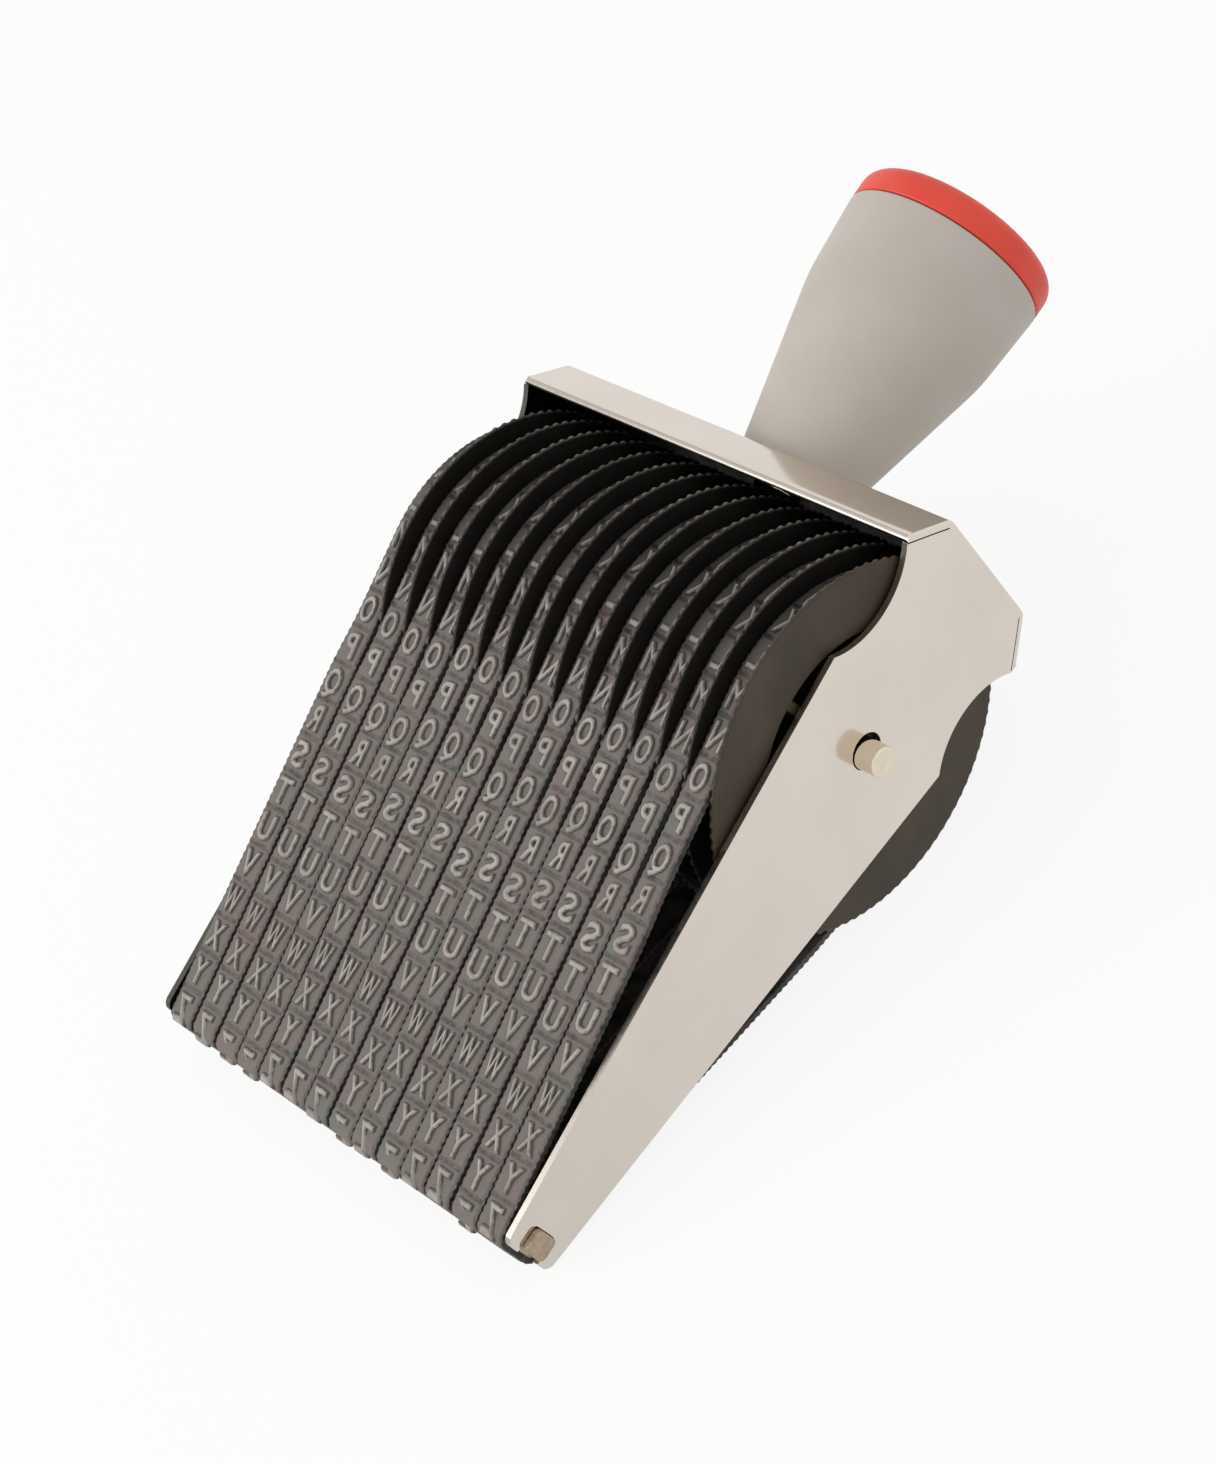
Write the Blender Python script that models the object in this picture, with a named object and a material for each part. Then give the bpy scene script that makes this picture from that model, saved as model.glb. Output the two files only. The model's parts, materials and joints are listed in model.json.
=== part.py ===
"""Hand-held band stamp: fourteen rubber type bands on thumb wheels, in a bent sheet frame with a handle.

Stamp axes: x along the axle, -y to the front, +z from the printing face towards the handle, zero on the
axle. The stamp empty lays the whole assembly on its back, on the wheel flanges and the two feet.
All sizes are in metres.
"""

import math

import bmesh
import bpy
from mathutils import Matrix, Vector

# Type bands
BAND_COUNT = 14
CHARACTER_PITCH = 0.00506
WHEEL_CHARACTERS = 26
RUN_CHARACTERS = 14
BAND_WIDTH = 0.0034
BAND_UNDERSIDE = 0.0005
TYPE_HEIGHT = 0.00136
GROOVE_DEPTH = 0.0007
GROOVE_WIDTH = 0.0004

# Thumb wheels
FLANGE_RADIUS = 0.0241
FLANGE_THICKNESS = 0.0006
RIM_INNER_RADIUS = 0.0155
HUB_RADIUS = 0.0046
WEB_THICKNESS = 0.0012
RIB_COUNT = 3
RIB_THICKNESS = 0.0013
WHEEL_TURN = 2

# Axle
AXLE_DIAMETER = 0.0040
AXLE_OVERHANG = 0.0031
AXLE_CHAMFER = 0.0004

# Frame, bent from one sheet
SHEET = 0.0010
BEND_RADIUS = 0.0018
TOP_HEADROOM = 0.0017
TOP_DEPTH = 0.0226
APRON_DROP = 0.0062
APRON_REACH = 0.00457
NOTCH_RADIUS = 0.0110
WAIST_DEPTH = 0.0240
WAIST_HEIGHT = 0.0126
EAR_HEIGHT = 0.0050
FOOT_DEPTH = 0.0099
FOOT_CORNER = 0.0015
FOOT_BELOW_PLATEN = 0.0007

# Platen
PLATEN_HEIGHT = 0.0065
PLATEN_CORNER = 0.0006
TENON_WIDTH = 0.0043
TENON_HEIGHT = 0.0029

# Handle, cap and screw
HANDLE_LENGTH = 0.0358
HANDLE_FOOT_RADIUS = 0.0077
HANDLE_TOP_RADIUS = 0.01405
HANDLE_GRIP_RADIUS = 0.0132
HANDLE_CONE_LENGTH = 0.0245
HANDLE_EASE_RADIUS = 0.0300
HANDLE_WALL = 0.0020
HANDLE_FLOOR = 0.0040
BOSS_RADIUS = 0.0035
BOSS_HEIGHT = 0.0060
CAP_HEIGHT = 0.00446
CAP_ROUND = 0.0022
CAP_WALL = 0.0018
CAP_PLUG_LENGTH = 0.0040
SCREW_DIAMETER = 0.0030
SCREW_LENGTH = 0.0085
SCREW_HEAD_DIAMETER = 0.0080
SCREW_HEAD_HEIGHT = 0.0009
SLOT_WIDTH = 0.0010
SLOT_DEPTH = 0.0004

# Gaps between pieces
CLEARANCE = 0.0003
RUNNING_GAP = 0.0003
SIDE_GAP = 0.0003

# Facets of the round pieces
WHEEL_FACETS = 24
POCKET_STEPS = 6
POCKET_HUB_STEPS = 2
BORE_FACETS = 8
HANDLE_FACETS = 24
PIN_FACETS = 16
ARC_STEPS = 8
ROUND_STEPS = 3

# Sizes that follow from the ones above
MODULE = BAND_WIDTH + FLANGE_THICKNESS + 2 * RUNNING_GAP
WHEEL_WIDTH = MODULE - RUNNING_GAP
STACK_WIDTH = BAND_COUNT * MODULE
INNER_WIDTH = STACK_WIDTH + 2 * SIDE_GAP
FRAME_WIDTH = INNER_WIDTH + 2 * SHEET
STEP_ANGLE = 2 * math.pi / WHEEL_CHARACTERS
WRAP_RADIUS = CHARACTER_PITCH / 2 / math.tan(STEP_ANGLE / 2)
RUN_TILT = math.asin((WRAP_RADIUS - CHARACTER_PITCH / 2) / (RUN_CHARACTERS * CHARACTER_PITCH))
PLATEN_LINE = -(CHARACTER_PITCH / 2 + RUN_CHARACTERS * CHARACTER_PITCH * math.cos(RUN_TILT))
DRUM_RADIUS = WRAP_RADIUS - BAND_UNDERSIDE - CLEARANCE
AXLE_RADIUS = AXLE_DIAMETER / 2
HOLE_RADIUS = AXLE_RADIUS + CLEARANCE
TOP_OUTSIDE = FLANGE_RADIUS + TOP_HEADROOM + SHEET
TOP_INSIDE = TOP_OUTSIDE - SHEET
APRON_EDGE = TOP_OUTSIDE - APRON_DROP
PLATEN_BOTTOM = PLATEN_LINE + BAND_UNDERSIDE + CLEARANCE
FOOT_END = PLATEN_BOTTOM - FOOT_BELOW_PLATEN
HANDLE_FOOT = TOP_OUTSIDE + CLEARANCE
HANDLE_TOP = HANDLE_FOOT + HANDLE_LENGTH
BORE_RADIUS = min(HANDLE_TOP_RADIUS, HANDLE_GRIP_RADIUS) - HANDLE_WALL
SCREW_RADIUS = SCREW_DIAMETER / 2
SCREW_SEAT = TOP_INSIDE - CLEARANCE
REACH = 2 * (FRAME_WIDTH + TOP_OUTSIDE - PLATEN_LINE)


def clear_scene():
    """Remove every object that the file starts with."""
    for old in list(bpy.data.objects):
        bpy.data.objects.remove(old, do_unlink=True)


def linear(channel):
    """Turn one sRGB channel, 0 to 255, into the linear value that a shader takes."""
    share = channel / 255
    return share / 12.92 if share <= 0.04045 else ((share + 0.055) / 1.055) ** 2.4


def finish(name, rgb, roughness, metallic=0.0):
    """Make a plain surface finish from an sRGB colour."""
    material = bpy.data.materials.new(name)
    material.use_nodes = True
    shader = material.node_tree.nodes["Principled BSDF"]
    shader.inputs["Base Color"].default_value = [linear(channel) for channel in rgb] + [1.0]
    shader.inputs["Roughness"].default_value = roughness
    shader.inputs["Metallic"].default_value = metallic
    return material


def place(name, shape, material, stamp, x=0.0):
    """Make a named piece from a bmesh and hang it on the stamp at a place along the axle."""
    bmesh.ops.recalc_face_normals(shape, faces=shape.faces)
    mesh = bpy.data.meshes.new(name)
    shape.to_mesh(mesh)
    shape.free()
    mesh.materials.append(material)
    mesh.shade_smooth()
    mesh.set_sharp_from_angle(angle=math.radians(35))
    piece = bpy.data.objects.new(name, mesh)
    bpy.context.collection.objects.link(piece)
    piece.parent = stamp
    piece.location.x = x
    return piece


def cutter(name, shape, stamp):
    """Make a hidden tool body for a Boolean."""
    tool = place(name, shape, bpy.data.materials.new(name), stamp)
    tool.hide_render = True
    tool.display_type = "WIRE"
    return tool


def combine(piece, tool, operation):
    """Add a Boolean to a piece."""
    step = piece.modifiers.new(operation.lower(), "BOOLEAN")
    step.operation = operation
    step.solver = "EXACT"
    step.object = tool


def arc(centre, radius, start, end, steps):
    """Points of an arc, both ends included, angles in radians from +y towards +z."""
    angles = [start + (end - start) * step / steps for step in range(steps + 1)]
    return [(centre[0] + radius * math.cos(a), centre[1] + radius * math.sin(a)) for a in angles]


def mirrored(half):
    """Close an outline given for y above zero with its mirror image."""
    return half + [(-y, z) for y, z in reversed(half)]


def draw_loop(shape, points, x):
    """Draw a closed loop of edges across the axle."""
    corners = [shape.verts.new((x, y, z)) for y, z in points]
    return [shape.edges.new(pair) for pair in zip(corners, corners[1:] + corners[:1])]


def fill(shape, *loops):
    """Close the flat area between an outline and its holes."""
    edges = [edge for loop in loops for edge in loop]
    bmesh.ops.triangle_fill(shape, use_beauty=True, use_dissolve=False, edges=edges)


def draw_wall(shape, loop, distance):
    """Pull a loop along the axle and return its far edges."""
    grown = bmesh.ops.extrude_edge_only(shape, edges=loop)["geom"]
    moved = [item for item in grown if isinstance(item, bmesh.types.BMVert)]
    bmesh.ops.translate(shape, verts=moved, vec=(distance, 0, 0))
    ends = set(moved)
    return [item for item in grown if isinstance(item, bmesh.types.BMEdge) and ends.issuperset(item.verts)]


def prism(loops, start, end):
    """Extrude an outline and its holes, given in y and z, along x."""
    shape = bmesh.new()
    near = [draw_loop(shape, loop, start) for loop in loops]
    fill(shape, *near)
    fill(shape, *[draw_wall(shape, loop, end - start) for loop in near])
    return shape


def lathe(profile, facets, axis):
    """Turn a profile of radius and height round an axis, x or z; its ends lie on the axis."""
    along = Vector((1, 0, 0)) if axis == "x" else Vector((0, 0, 1))
    outward = Vector((0, 0, 1)) if axis == "x" else Vector((1, 0, 0))
    shape = bmesh.new()
    points = [shape.verts.new(outward * radius + along * height) for radius, height in profile]
    edges = [shape.edges.new(pair) for pair in zip(points, points[1:])]
    bmesh.ops.spin(shape, geom=points + edges, axis=along, cent=(0, 0, 0), steps=facets,
                   angle=2 * math.pi, use_merge=True, use_duplicate=False)
    bmesh.ops.remove_doubles(shape, verts=shape.verts, dist=1e-6)
    bmesh.ops.dissolve_degenerate(shape, dist=1e-6, edges=shape.edges)
    return shape


def band_corners():
    """Corners of a band's closed path on its pitch line, from the front of the platen round the wheel."""
    corner_radius = WRAP_RADIUS / math.cos(STEP_ANGLE / 2)
    half_wrap = WHEEL_CHARACTERS // 4 + 1
    angles = [step * STEP_ANGLE for step in range(-half_wrap, half_wrap + 1)]
    wrap = [Vector((corner_radius * math.sin(a), corner_radius * math.cos(a))) for a in angles]
    half = CHARACTER_PITCH / 2
    return [Vector((-half, PLATEN_LINE))] + wrap + [Vector((half, PLATEN_LINE))]


def outward(start, end):
    """Unit normal of a path segment, pointing out of the loop."""
    along = (end - start).normalized()
    return Vector((-along.y, along.x))


def offset_corners(corners, distance):
    """Move every side of a closed path outwards and return the new corners."""
    moved = []
    for index, corner in enumerate(corners):
        before = outward(corners[index - 1], corner)
        after = outward(corner, corners[(index + 1) % len(corners)])
        middle = (before + after).normalized()
        moved.append(corner + middle * (distance / middle.dot(before)))
    return moved


def character_ends():
    """Points on the pitch line where one character's pad ends and the next begins."""
    corners = band_corners()
    run = RUN_CHARACTERS
    front = [corners[0].lerp(corners[1], step / run) for step in range(run)]
    back = [corners[-2].lerp(corners[-1], step / run) for step in range(run + 1)]
    return front + corners[1:-2] + back


def band_outline():
    """Outer outline of a band: a flat pad for each character with a V groove on either side."""
    ends = character_ends()
    outline = []
    for index, start in enumerate(ends):
        before = outward(ends[index - 1], start)
        end = ends[(index + 1) % len(ends)]
        normal = outward(start, end)
        along = (end - start).normalized()
        middle = (before + normal).normalized()
        valley = (TYPE_HEIGHT - GROOVE_DEPTH) / middle.dot(normal)
        outline.append(start + middle * valley)
        outline.append(start + normal * TYPE_HEIGHT + along * GROOVE_WIDTH / 2)
        outline.append(end + normal * TYPE_HEIGHT - along * GROOVE_WIDTH / 2)
    return outline


def module_start(index):
    """Place along the axle where a band's share of the stack begins."""
    return index * MODULE - STACK_WIDTH / 2


def add_bands(material, stamp):
    """Fourteen separate rubber bands."""
    inner = offset_corners(band_corners(), -BAND_UNDERSIDE)
    for index in range(BAND_COUNT):
        shape = prism([band_outline(), inner], 0, BAND_WIDTH)
        place(f"band_{index + 1:02d}", shape, material, stamp, module_start(index) + RUNNING_GAP)


def ring(radius, facets):
    """Corners of a regular polygon round the axle."""
    return arc((0, 0), radius, 0, 2 * math.pi, facets)[:-1]


def pocket(index):
    """Outline of one recess in a wheel's side, between two ribs."""
    middle = 2 * math.pi * (index + 0.5) / RIB_COUNT
    sweep = math.pi / RIB_COUNT
    outer = sweep - math.asin(RIB_THICKNESS / 2 / RIM_INNER_RADIUS)
    inner = sweep - math.asin(RIB_THICKNESS / 2 / HUB_RADIUS)
    rim = arc((0, 0), RIM_INNER_RADIUS, middle - outer, middle + outer, POCKET_STEPS)
    hub = arc((0, 0), HUB_RADIUS, middle + inner, middle - inner, POCKET_HUB_STEPS)
    return rim + hub


def wheel_shape():
    """One wheel from its left face at x = 0: bored drum, flange on the right, recessed web and ribs."""
    shape = bmesh.new()
    flange = WHEEL_WIDTH - FLANGE_THICKNESS
    corner = FLANGE_RADIUS / math.cos(math.pi / WHEEL_FACETS)
    bore = draw_loop(shape, ring(HOLE_RADIUS, BORE_FACETS), 0)
    drum = draw_loop(shape, ring(DRUM_RADIUS, WHEEL_FACETS), 0)
    fill(shape, drum, bore)
    drum_end = draw_wall(shape, drum, flange)
    rim = draw_loop(shape, ring(corner, WHEEL_FACETS), flange)
    fill(shape, rim, drum_end)
    face = [draw_wall(shape, rim, FLANGE_THICKNESS), draw_wall(shape, bore, WHEEL_WIDTH)]
    pockets = [draw_loop(shape, pocket(index), WHEEL_WIDTH) for index in range(RIB_COUNT)]
    fill(shape, *face, *pockets)
    for loop in pockets:
        fill(shape, draw_wall(shape, loop, WEB_THICKNESS - WHEEL_WIDTH))
    return shape


def add_wheels(material, stamp, lean):
    """Fourteen separate thumb wheels, turned by whole facets past the one that faces the table."""
    facet = 2 * math.pi / WHEEL_FACETS
    turn = -lean - facet / 2 - WHEEL_TURN * facet
    for index in range(BAND_COUNT):
        start = module_start(index) + RUNNING_GAP
        wheel = place(f"wheel_{index + 1:02d}", wheel_shape(), material, stamp, start)
        wheel.rotation_euler.x = turn


def bent_slab(width, top, radius):
    """A slab that runs from front to back, with its two top edges rounded as the sheet's bends are."""
    bend = arc((width / 2 - radius, top - radius), radius, 0, math.pi / 2, ROUND_STEPS)
    shape = prism([mirrored([(width / 2, -REACH)] + bend)], -REACH, REACH)
    bmesh.ops.rotate(shape, verts=shape.verts, matrix=Matrix.Rotation(math.pi / 2, 3, "Z"))
    return shape


def plate_outline():
    """Side plate from roof to forked foot, with the two finger notches; its slopes run on above the roof."""
    slope = APRON_REACH / APRON_DROP
    corner = TOP_DEPTH / 2 + APRON_REACH
    notch_centre = (WAIST_DEPTH / 2 + NOTCH_RADIUS, WAIST_HEIGHT)
    rise = math.sqrt(NOTCH_RADIUS ** 2 - (notch_centre[0] - corner) ** 2)
    notch_top = min(APRON_EDGE - WAIST_HEIGHT, rise)
    upper = math.pi - math.asin(notch_top / NOTCH_RADIUS)
    lower = math.pi + math.asin((WAIST_HEIGHT - EAR_HEIGHT) / NOTCH_RADIUS)
    foot = FOOT_DEPTH / 2 - FOOT_CORNER
    slot = TENON_WIDTH / 2 + CLEARANCE
    slot_top = PLATEN_BOTTOM + TENON_HEIGHT + CLEARANCE
    half = [(TOP_DEPTH / 2 - slope * SHEET, TOP_OUTSIDE + SHEET), (corner, APRON_EDGE)]
    half += arc(notch_centre, NOTCH_RADIUS, upper, lower, ARC_STEPS)
    half += arc((foot, FOOT_END + FOOT_CORNER), FOOT_CORNER, 0, -math.pi / 2, ROUND_STEPS)
    half += [(slot, FOOT_END), (slot, slot_top)]
    return mirrored(half)


def inside_outline():
    """Side view of the space that the bent sheet encloses, open below the ends of the two aprons."""
    normal = Vector((APRON_DROP, APRON_REACH)).normalized()
    slope = APRON_REACH / APRON_DROP
    ceiling = TOP_DEPTH / 2 - slope * SHEET - SHEET / normal.x
    end = APRON_EDGE - SHEET * normal.y / 2
    fall = TOP_OUTSIDE + SHEET - end
    apron = [(ceiling, TOP_OUTSIDE + SHEET), (ceiling + slope * fall, end)]
    return mirrored(apron + [(REACH, end), (REACH, -REACH)])


def add_frame(material, stamp):
    """The bent sheet with its axle holes, forked feet and screw hole."""
    side = [plate_outline(), ring(HOLE_RADIUS, PIN_FACETS)]
    frame = place("frame", prism(side, -FRAME_WIDTH, FRAME_WIDTH), material, stamp)
    outside = cutter("frame_outside", bent_slab(FRAME_WIDTH, TOP_OUTSIDE, BEND_RADIUS), stamp)
    combine(frame, outside, "INTERSECT")
    space = cutter("frame_space", prism([inside_outline()], -FRAME_WIDTH, FRAME_WIDTH), stamp)
    inside = cutter("frame_inside", bent_slab(INNER_WIDTH, TOP_INSIDE, BEND_RADIUS - SHEET), stamp)
    combine(space, inside, "INTERSECT")
    combine(frame, space, "DIFFERENCE")
    reach = SCREW_RADIUS + CLEARANCE
    hole = lathe([(0, TOP_INSIDE - SHEET), (reach, TOP_INSIDE - SHEET), (reach, TOP_OUTSIDE + SHEET),
                  (0, TOP_OUTSIDE + SHEET)], PIN_FACETS, "z")
    combine(frame, cutter("screw_hole", hole, stamp), "DIFFERENCE")


def add_axle(material, stamp):
    """The plain pin with chamfered ends, which the pull of the bands holds in its holes."""
    end = FRAME_WIDTH / 2 + AXLE_OVERHANG
    face = AXLE_RADIUS - AXLE_CHAMFER
    profile = [(0, -end), (face, -end), (AXLE_RADIUS, AXLE_CHAMFER - end),
               (AXLE_RADIUS, end - AXLE_CHAMFER), (face, end), (0, end)]
    place("axle", lathe(profile, PIN_FACETS, "x"), material, stamp)


def platen_section():
    """Section of the bar under the bands: it follows their inner faces, with rounded lower corners."""
    inner = offset_corners(band_corners(), -BAND_UNDERSIDE - CLEARANCE)
    half = inner[-1].x
    top = half + PLATEN_HEIGHT * math.tan(RUN_TILT)
    ease = PLATEN_CORNER
    return mirrored([(half - ease, PLATEN_BOTTOM), (half + ease * math.sin(RUN_TILT), PLATEN_BOTTOM + ease),
                     (top, PLATEN_BOTTOM + PLATEN_HEIGHT)])


def add_platen(material, stamp):
    """The platen bar with a tenon at each end that sits in the forked feet."""
    body = INNER_WIDTH / 2 - CLEARANCE
    root = body - CLEARANCE / 2
    tip = FRAME_WIDTH / 2
    half = TENON_WIDTH / 2
    platen = place("platen", prism([platen_section()], -body, body), material, stamp)
    section = mirrored([(half, PLATEN_BOTTOM + CLEARANCE), (half, PLATEN_BOTTOM + TENON_HEIGHT)])
    for side in (-1, 1):
        tenon = prism([section], side * root, side * tip)
        combine(platen, cutter(f"platen_tenon_{side}", tenon, stamp), "UNION")


def handle_side():
    """Side of the handle from foot to top: a cone that eases into a grip with less taper."""
    corner = Vector((HANDLE_GRIP_RADIUS, HANDLE_FOOT + HANDLE_CONE_LENGTH))
    cone_lean = math.atan2(HANDLE_GRIP_RADIUS - HANDLE_FOOT_RADIUS, HANDLE_CONE_LENGTH)
    grip_lean = math.atan2(HANDLE_TOP_RADIUS - HANDLE_GRIP_RADIUS, HANDLE_LENGTH - HANDLE_CONE_LENGTH)
    upward = Vector((math.sin(grip_lean), math.cos(grip_lean)))
    inward = Vector((-upward.y, upward.x))
    tangent = HANDLE_EASE_RADIUS * math.tan((cone_lean - grip_lean) / 2)
    centre = corner + tangent * upward + HANDLE_EASE_RADIUS * inward
    ease = arc(centre, HANDLE_EASE_RADIUS, -cone_lean, -grip_lean, ROUND_STEPS)
    return [(HANDLE_FOOT_RADIUS, HANDLE_FOOT)] + ease + [(HANDLE_TOP_RADIUS, HANDLE_TOP)]


def add_handle(material, stamp):
    """The hollow moulded handle with the screw boss inside it."""
    floor = HANDLE_FOOT + HANDLE_FLOOR
    boss_top = floor + BOSS_HEIGHT
    pilot = SCREW_RADIUS + CLEARANCE
    pilot_end = SCREW_SEAT + SCREW_LENGTH + CLEARANCE
    corner = HANDLE_FOOT + HANDLE_CONE_LENGTH
    lean = (HANDLE_GRIP_RADIUS - HANDLE_FOOT_RADIUS) / HANDLE_CONE_LENGTH
    floor_radius = BORE_RADIUS - lean * (corner - floor)
    profile = [(0, pilot_end), (pilot, pilot_end), (pilot, HANDLE_FOOT)] + handle_side()
    profile += [(BORE_RADIUS, HANDLE_TOP), (BORE_RADIUS, corner), (floor_radius, floor),
                (BOSS_RADIUS, floor), (BOSS_RADIUS, boss_top), (0, boss_top)]
    place("handle", lathe(profile, HANDLE_FACETS, "z"), material, stamp)


def add_cap(material, stamp):
    """The cap, rounded at its edge, with the plug that sits in the handle's bore."""
    seat = HANDLE_TOP + CLEARANCE
    top = seat + CAP_HEIGHT
    plug = BORE_RADIUS - CLEARANCE
    hollow = plug - CAP_WALL
    plug_end = seat - CAP_PLUG_LENGTH
    shoulder = arc((HANDLE_TOP_RADIUS - CAP_ROUND, top - CAP_ROUND), CAP_ROUND, math.pi / 2, 0, ROUND_STEPS)
    profile = [(0, top)] + shoulder + [(HANDLE_TOP_RADIUS, seat), (plug, seat), (plug, plug_end)]
    profile += [(hollow, plug_end), (hollow, top - CAP_WALL), (0, top - CAP_WALL)]
    place("handle_cap", lathe(profile, HANDLE_FACETS, "z"), material, stamp)


def add_screw(material, stamp):
    """The low-headed screw that holds the handle to the frame's top, with its driver slot."""
    seat = SCREW_SEAT
    bottom = seat - SCREW_HEAD_HEIGHT
    head = SCREW_HEAD_DIAMETER / 2
    tip = seat + SCREW_LENGTH
    profile = [(0, bottom), (head - SCREW_HEAD_HEIGHT / 2, bottom), (head, bottom + SCREW_HEAD_HEIGHT / 2),
               (head, seat), (SCREW_RADIUS, seat), (SCREW_RADIUS, tip), (0, tip)]
    screw = place("handle_screw", lathe(profile, PIN_FACETS, "z"), material, stamp)
    half = SLOT_WIDTH / 2
    slot = prism([mirrored([(half, bottom + SLOT_DEPTH), (half, bottom - SLOT_DEPTH)])], -head * 2, head * 2)
    combine(screw, cutter("driver_slot", slot, stamp), "DIFFERENCE")


def lie_angle():
    """Lean of the stamp on its back: the line that touches the wheel flanges and the rear foot corners."""
    centre = Vector((FOOT_DEPTH / 2 - FOOT_CORNER, -(FOOT_END + FOOT_CORNER)))
    return math.asin((FLANGE_RADIUS - FOOT_CORNER) / centre.length) - math.atan2(centre.x, centre.y)


def set_down(stamp):
    """Move the stamp so that it lies on z = 0 with the middle of its box over the origin."""
    bpy.context.view_layer.update()
    depsgraph = bpy.context.evaluated_depsgraph_get()
    corners = []
    for piece in stamp.children:
        if piece.hide_render:
            continue
        solid = piece.evaluated_get(depsgraph)
        corners += [solid.matrix_world @ vertex.co for vertex in solid.data.vertices]
    lowest = min(corner.z for corner in corners)
    middle = (min(corner.y for corner in corners) + max(corner.y for corner in corners)) / 2
    stamp.location = (0, -middle, -lowest)


def main():
    """Build every piece of the stamp and lay it down."""
    clear_scene()
    stamp = bpy.data.objects.new("stamp", None)
    bpy.context.collection.objects.link(stamp)
    lean = lie_angle()
    stamp.rotation_euler.x = lean - math.pi / 2
    nickel = finish("nickel_plate", (212, 204, 196), 0.22, 1.0)
    rubber = finish("type_rubber", (115, 108, 105), 0.75)
    wheel_plastic = finish("wheel_plastic", (74, 69, 64), 0.45)
    steel = finish("platen_steel", (168, 158, 146), 0.5, 1.0)
    pin = finish("pin_steel", (205, 200, 194), 0.25, 1.0)
    grey = finish("handle_plastic", (185, 176, 168), 0.4)
    red = finish("cap_plastic", (214, 60, 45), 0.3)
    add_frame(nickel, stamp)
    add_axle(pin, stamp)
    add_platen(steel, stamp)
    add_wheels(wheel_plastic, stamp, lean)
    add_bands(rubber, stamp)
    add_handle(grey, stamp)
    add_cap(red, stamp)
    add_screw(pin, stamp)
    set_down(stamp)


main()
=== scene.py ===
"""Looks of a hand-held band stamp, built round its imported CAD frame.

Every piece is modelled in the stamp's own axes, in metres: x along the axle, -y to the front, +z from the
printing face to the handle, zero on the axle. Its place in the CAD frame is then applied to its mesh.
"""

import json
import logging
import math
from dataclasses import dataclass
from enum import Enum
from typing import Callable, Sequence

import bmesh
import bpy
from mathutils import Matrix, Vector


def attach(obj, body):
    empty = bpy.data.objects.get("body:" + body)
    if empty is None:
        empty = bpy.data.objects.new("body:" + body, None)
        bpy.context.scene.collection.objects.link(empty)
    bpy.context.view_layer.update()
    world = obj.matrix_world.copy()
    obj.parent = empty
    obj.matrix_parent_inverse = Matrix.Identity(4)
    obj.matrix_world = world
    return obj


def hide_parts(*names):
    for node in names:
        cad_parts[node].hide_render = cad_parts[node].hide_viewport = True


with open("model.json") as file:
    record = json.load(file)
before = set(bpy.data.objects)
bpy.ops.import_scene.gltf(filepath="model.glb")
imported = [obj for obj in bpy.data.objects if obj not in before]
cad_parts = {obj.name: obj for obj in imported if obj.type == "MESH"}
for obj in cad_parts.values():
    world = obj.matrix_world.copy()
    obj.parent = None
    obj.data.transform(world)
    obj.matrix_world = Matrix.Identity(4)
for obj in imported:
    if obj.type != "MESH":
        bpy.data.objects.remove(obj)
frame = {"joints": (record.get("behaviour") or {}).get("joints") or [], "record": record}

LOG = logging.getLogger("band_stamp")
MM = 0.001
MERGE = 1e-6
Point = tuple[float, float]
Rgb = tuple[int, int, int]


class Pick(Enum):
    """What a selection takes in edit mode."""

    CORNERS = "VERT"
    EDGES = "EDGE"
    FACES = "FACE"


class Axis(Enum):
    """Axis that a turned piece is spun round."""

    AXLE = (1.0, 0.0, 0.0)
    HANDLE = (0.0, 0.0, 1.0)


class Solid(Enum):
    """What one closed piece does to another."""

    JOINED = "UNION"
    CUT = "DIFFERENCE"


def linear(rgb: Rgb) -> tuple[float, float, float, float]:
    """Turn an sRGB colour into the linear one that a shader takes.

    Args:
        rgb: Channels from 0 to 255.

    Returns:
        Linear red, green and blue, and a full alpha.
    """
    shares = [channel / 255 for channel in rgb]
    bent = [s / 12.92 if s <= 0.04045 else ((s + 0.055) / 1.055) ** 2.4 for s in shares]
    return (bent[0], bent[1], bent[2], 1.0)


def take(piece: bpy.types.Object) -> None:
    """Make one object the only selected and the active one.

    Args:
        piece: The object that the next operators act on.
    """
    bpy.ops.object.select_all(action="DESELECT")
    piece.select_set(True)
    bpy.context.view_layer.objects.active = piece


def edit(piece: bpy.types.Object) -> None:
    """Open a piece in edit mode with everything selected.

    Args:
        piece: The mesh object to edit.
    """
    take(piece)
    bpy.ops.object.mode_set(mode="EDIT")
    bpy.ops.mesh.select_all(action="SELECT")


def leave() -> None:
    """Go back to object mode."""
    bpy.ops.object.mode_set(mode="OBJECT")


def pick(kind: Pick, test: Callable[[Vector, Vector], bool]) -> None:
    """Select parts of the mesh in edit mode by their place and direction.

    Args:
        kind: Corners, edges or faces.
        test: Takes the middle and the direction, an edge's run or a normal, and says whether to select.
    """
    bpy.ops.mesh.select_mode(type=kind.value)
    bpy.ops.mesh.select_all(action="DESELECT")
    mesh = bpy.context.edit_object.data
    shape = bmesh.from_edit_mesh(mesh)
    if kind is Pick.CORNERS:
        for corner in shape.verts:
            corner.select_set(test(corner.co, corner.normal))
    elif kind is Pick.EDGES:
        for line in shape.edges:
            start, end = (corner.co for corner in line.verts)
            line.select_set(test((start + end) / 2, (end - start).normalized()))
    else:
        for face in shape.faces:
            face.select_set(test(face.calc_center_median(), face.normal))
    shape.select_flush_mode()
    bmesh.update_edit_mesh(mesh)


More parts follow.
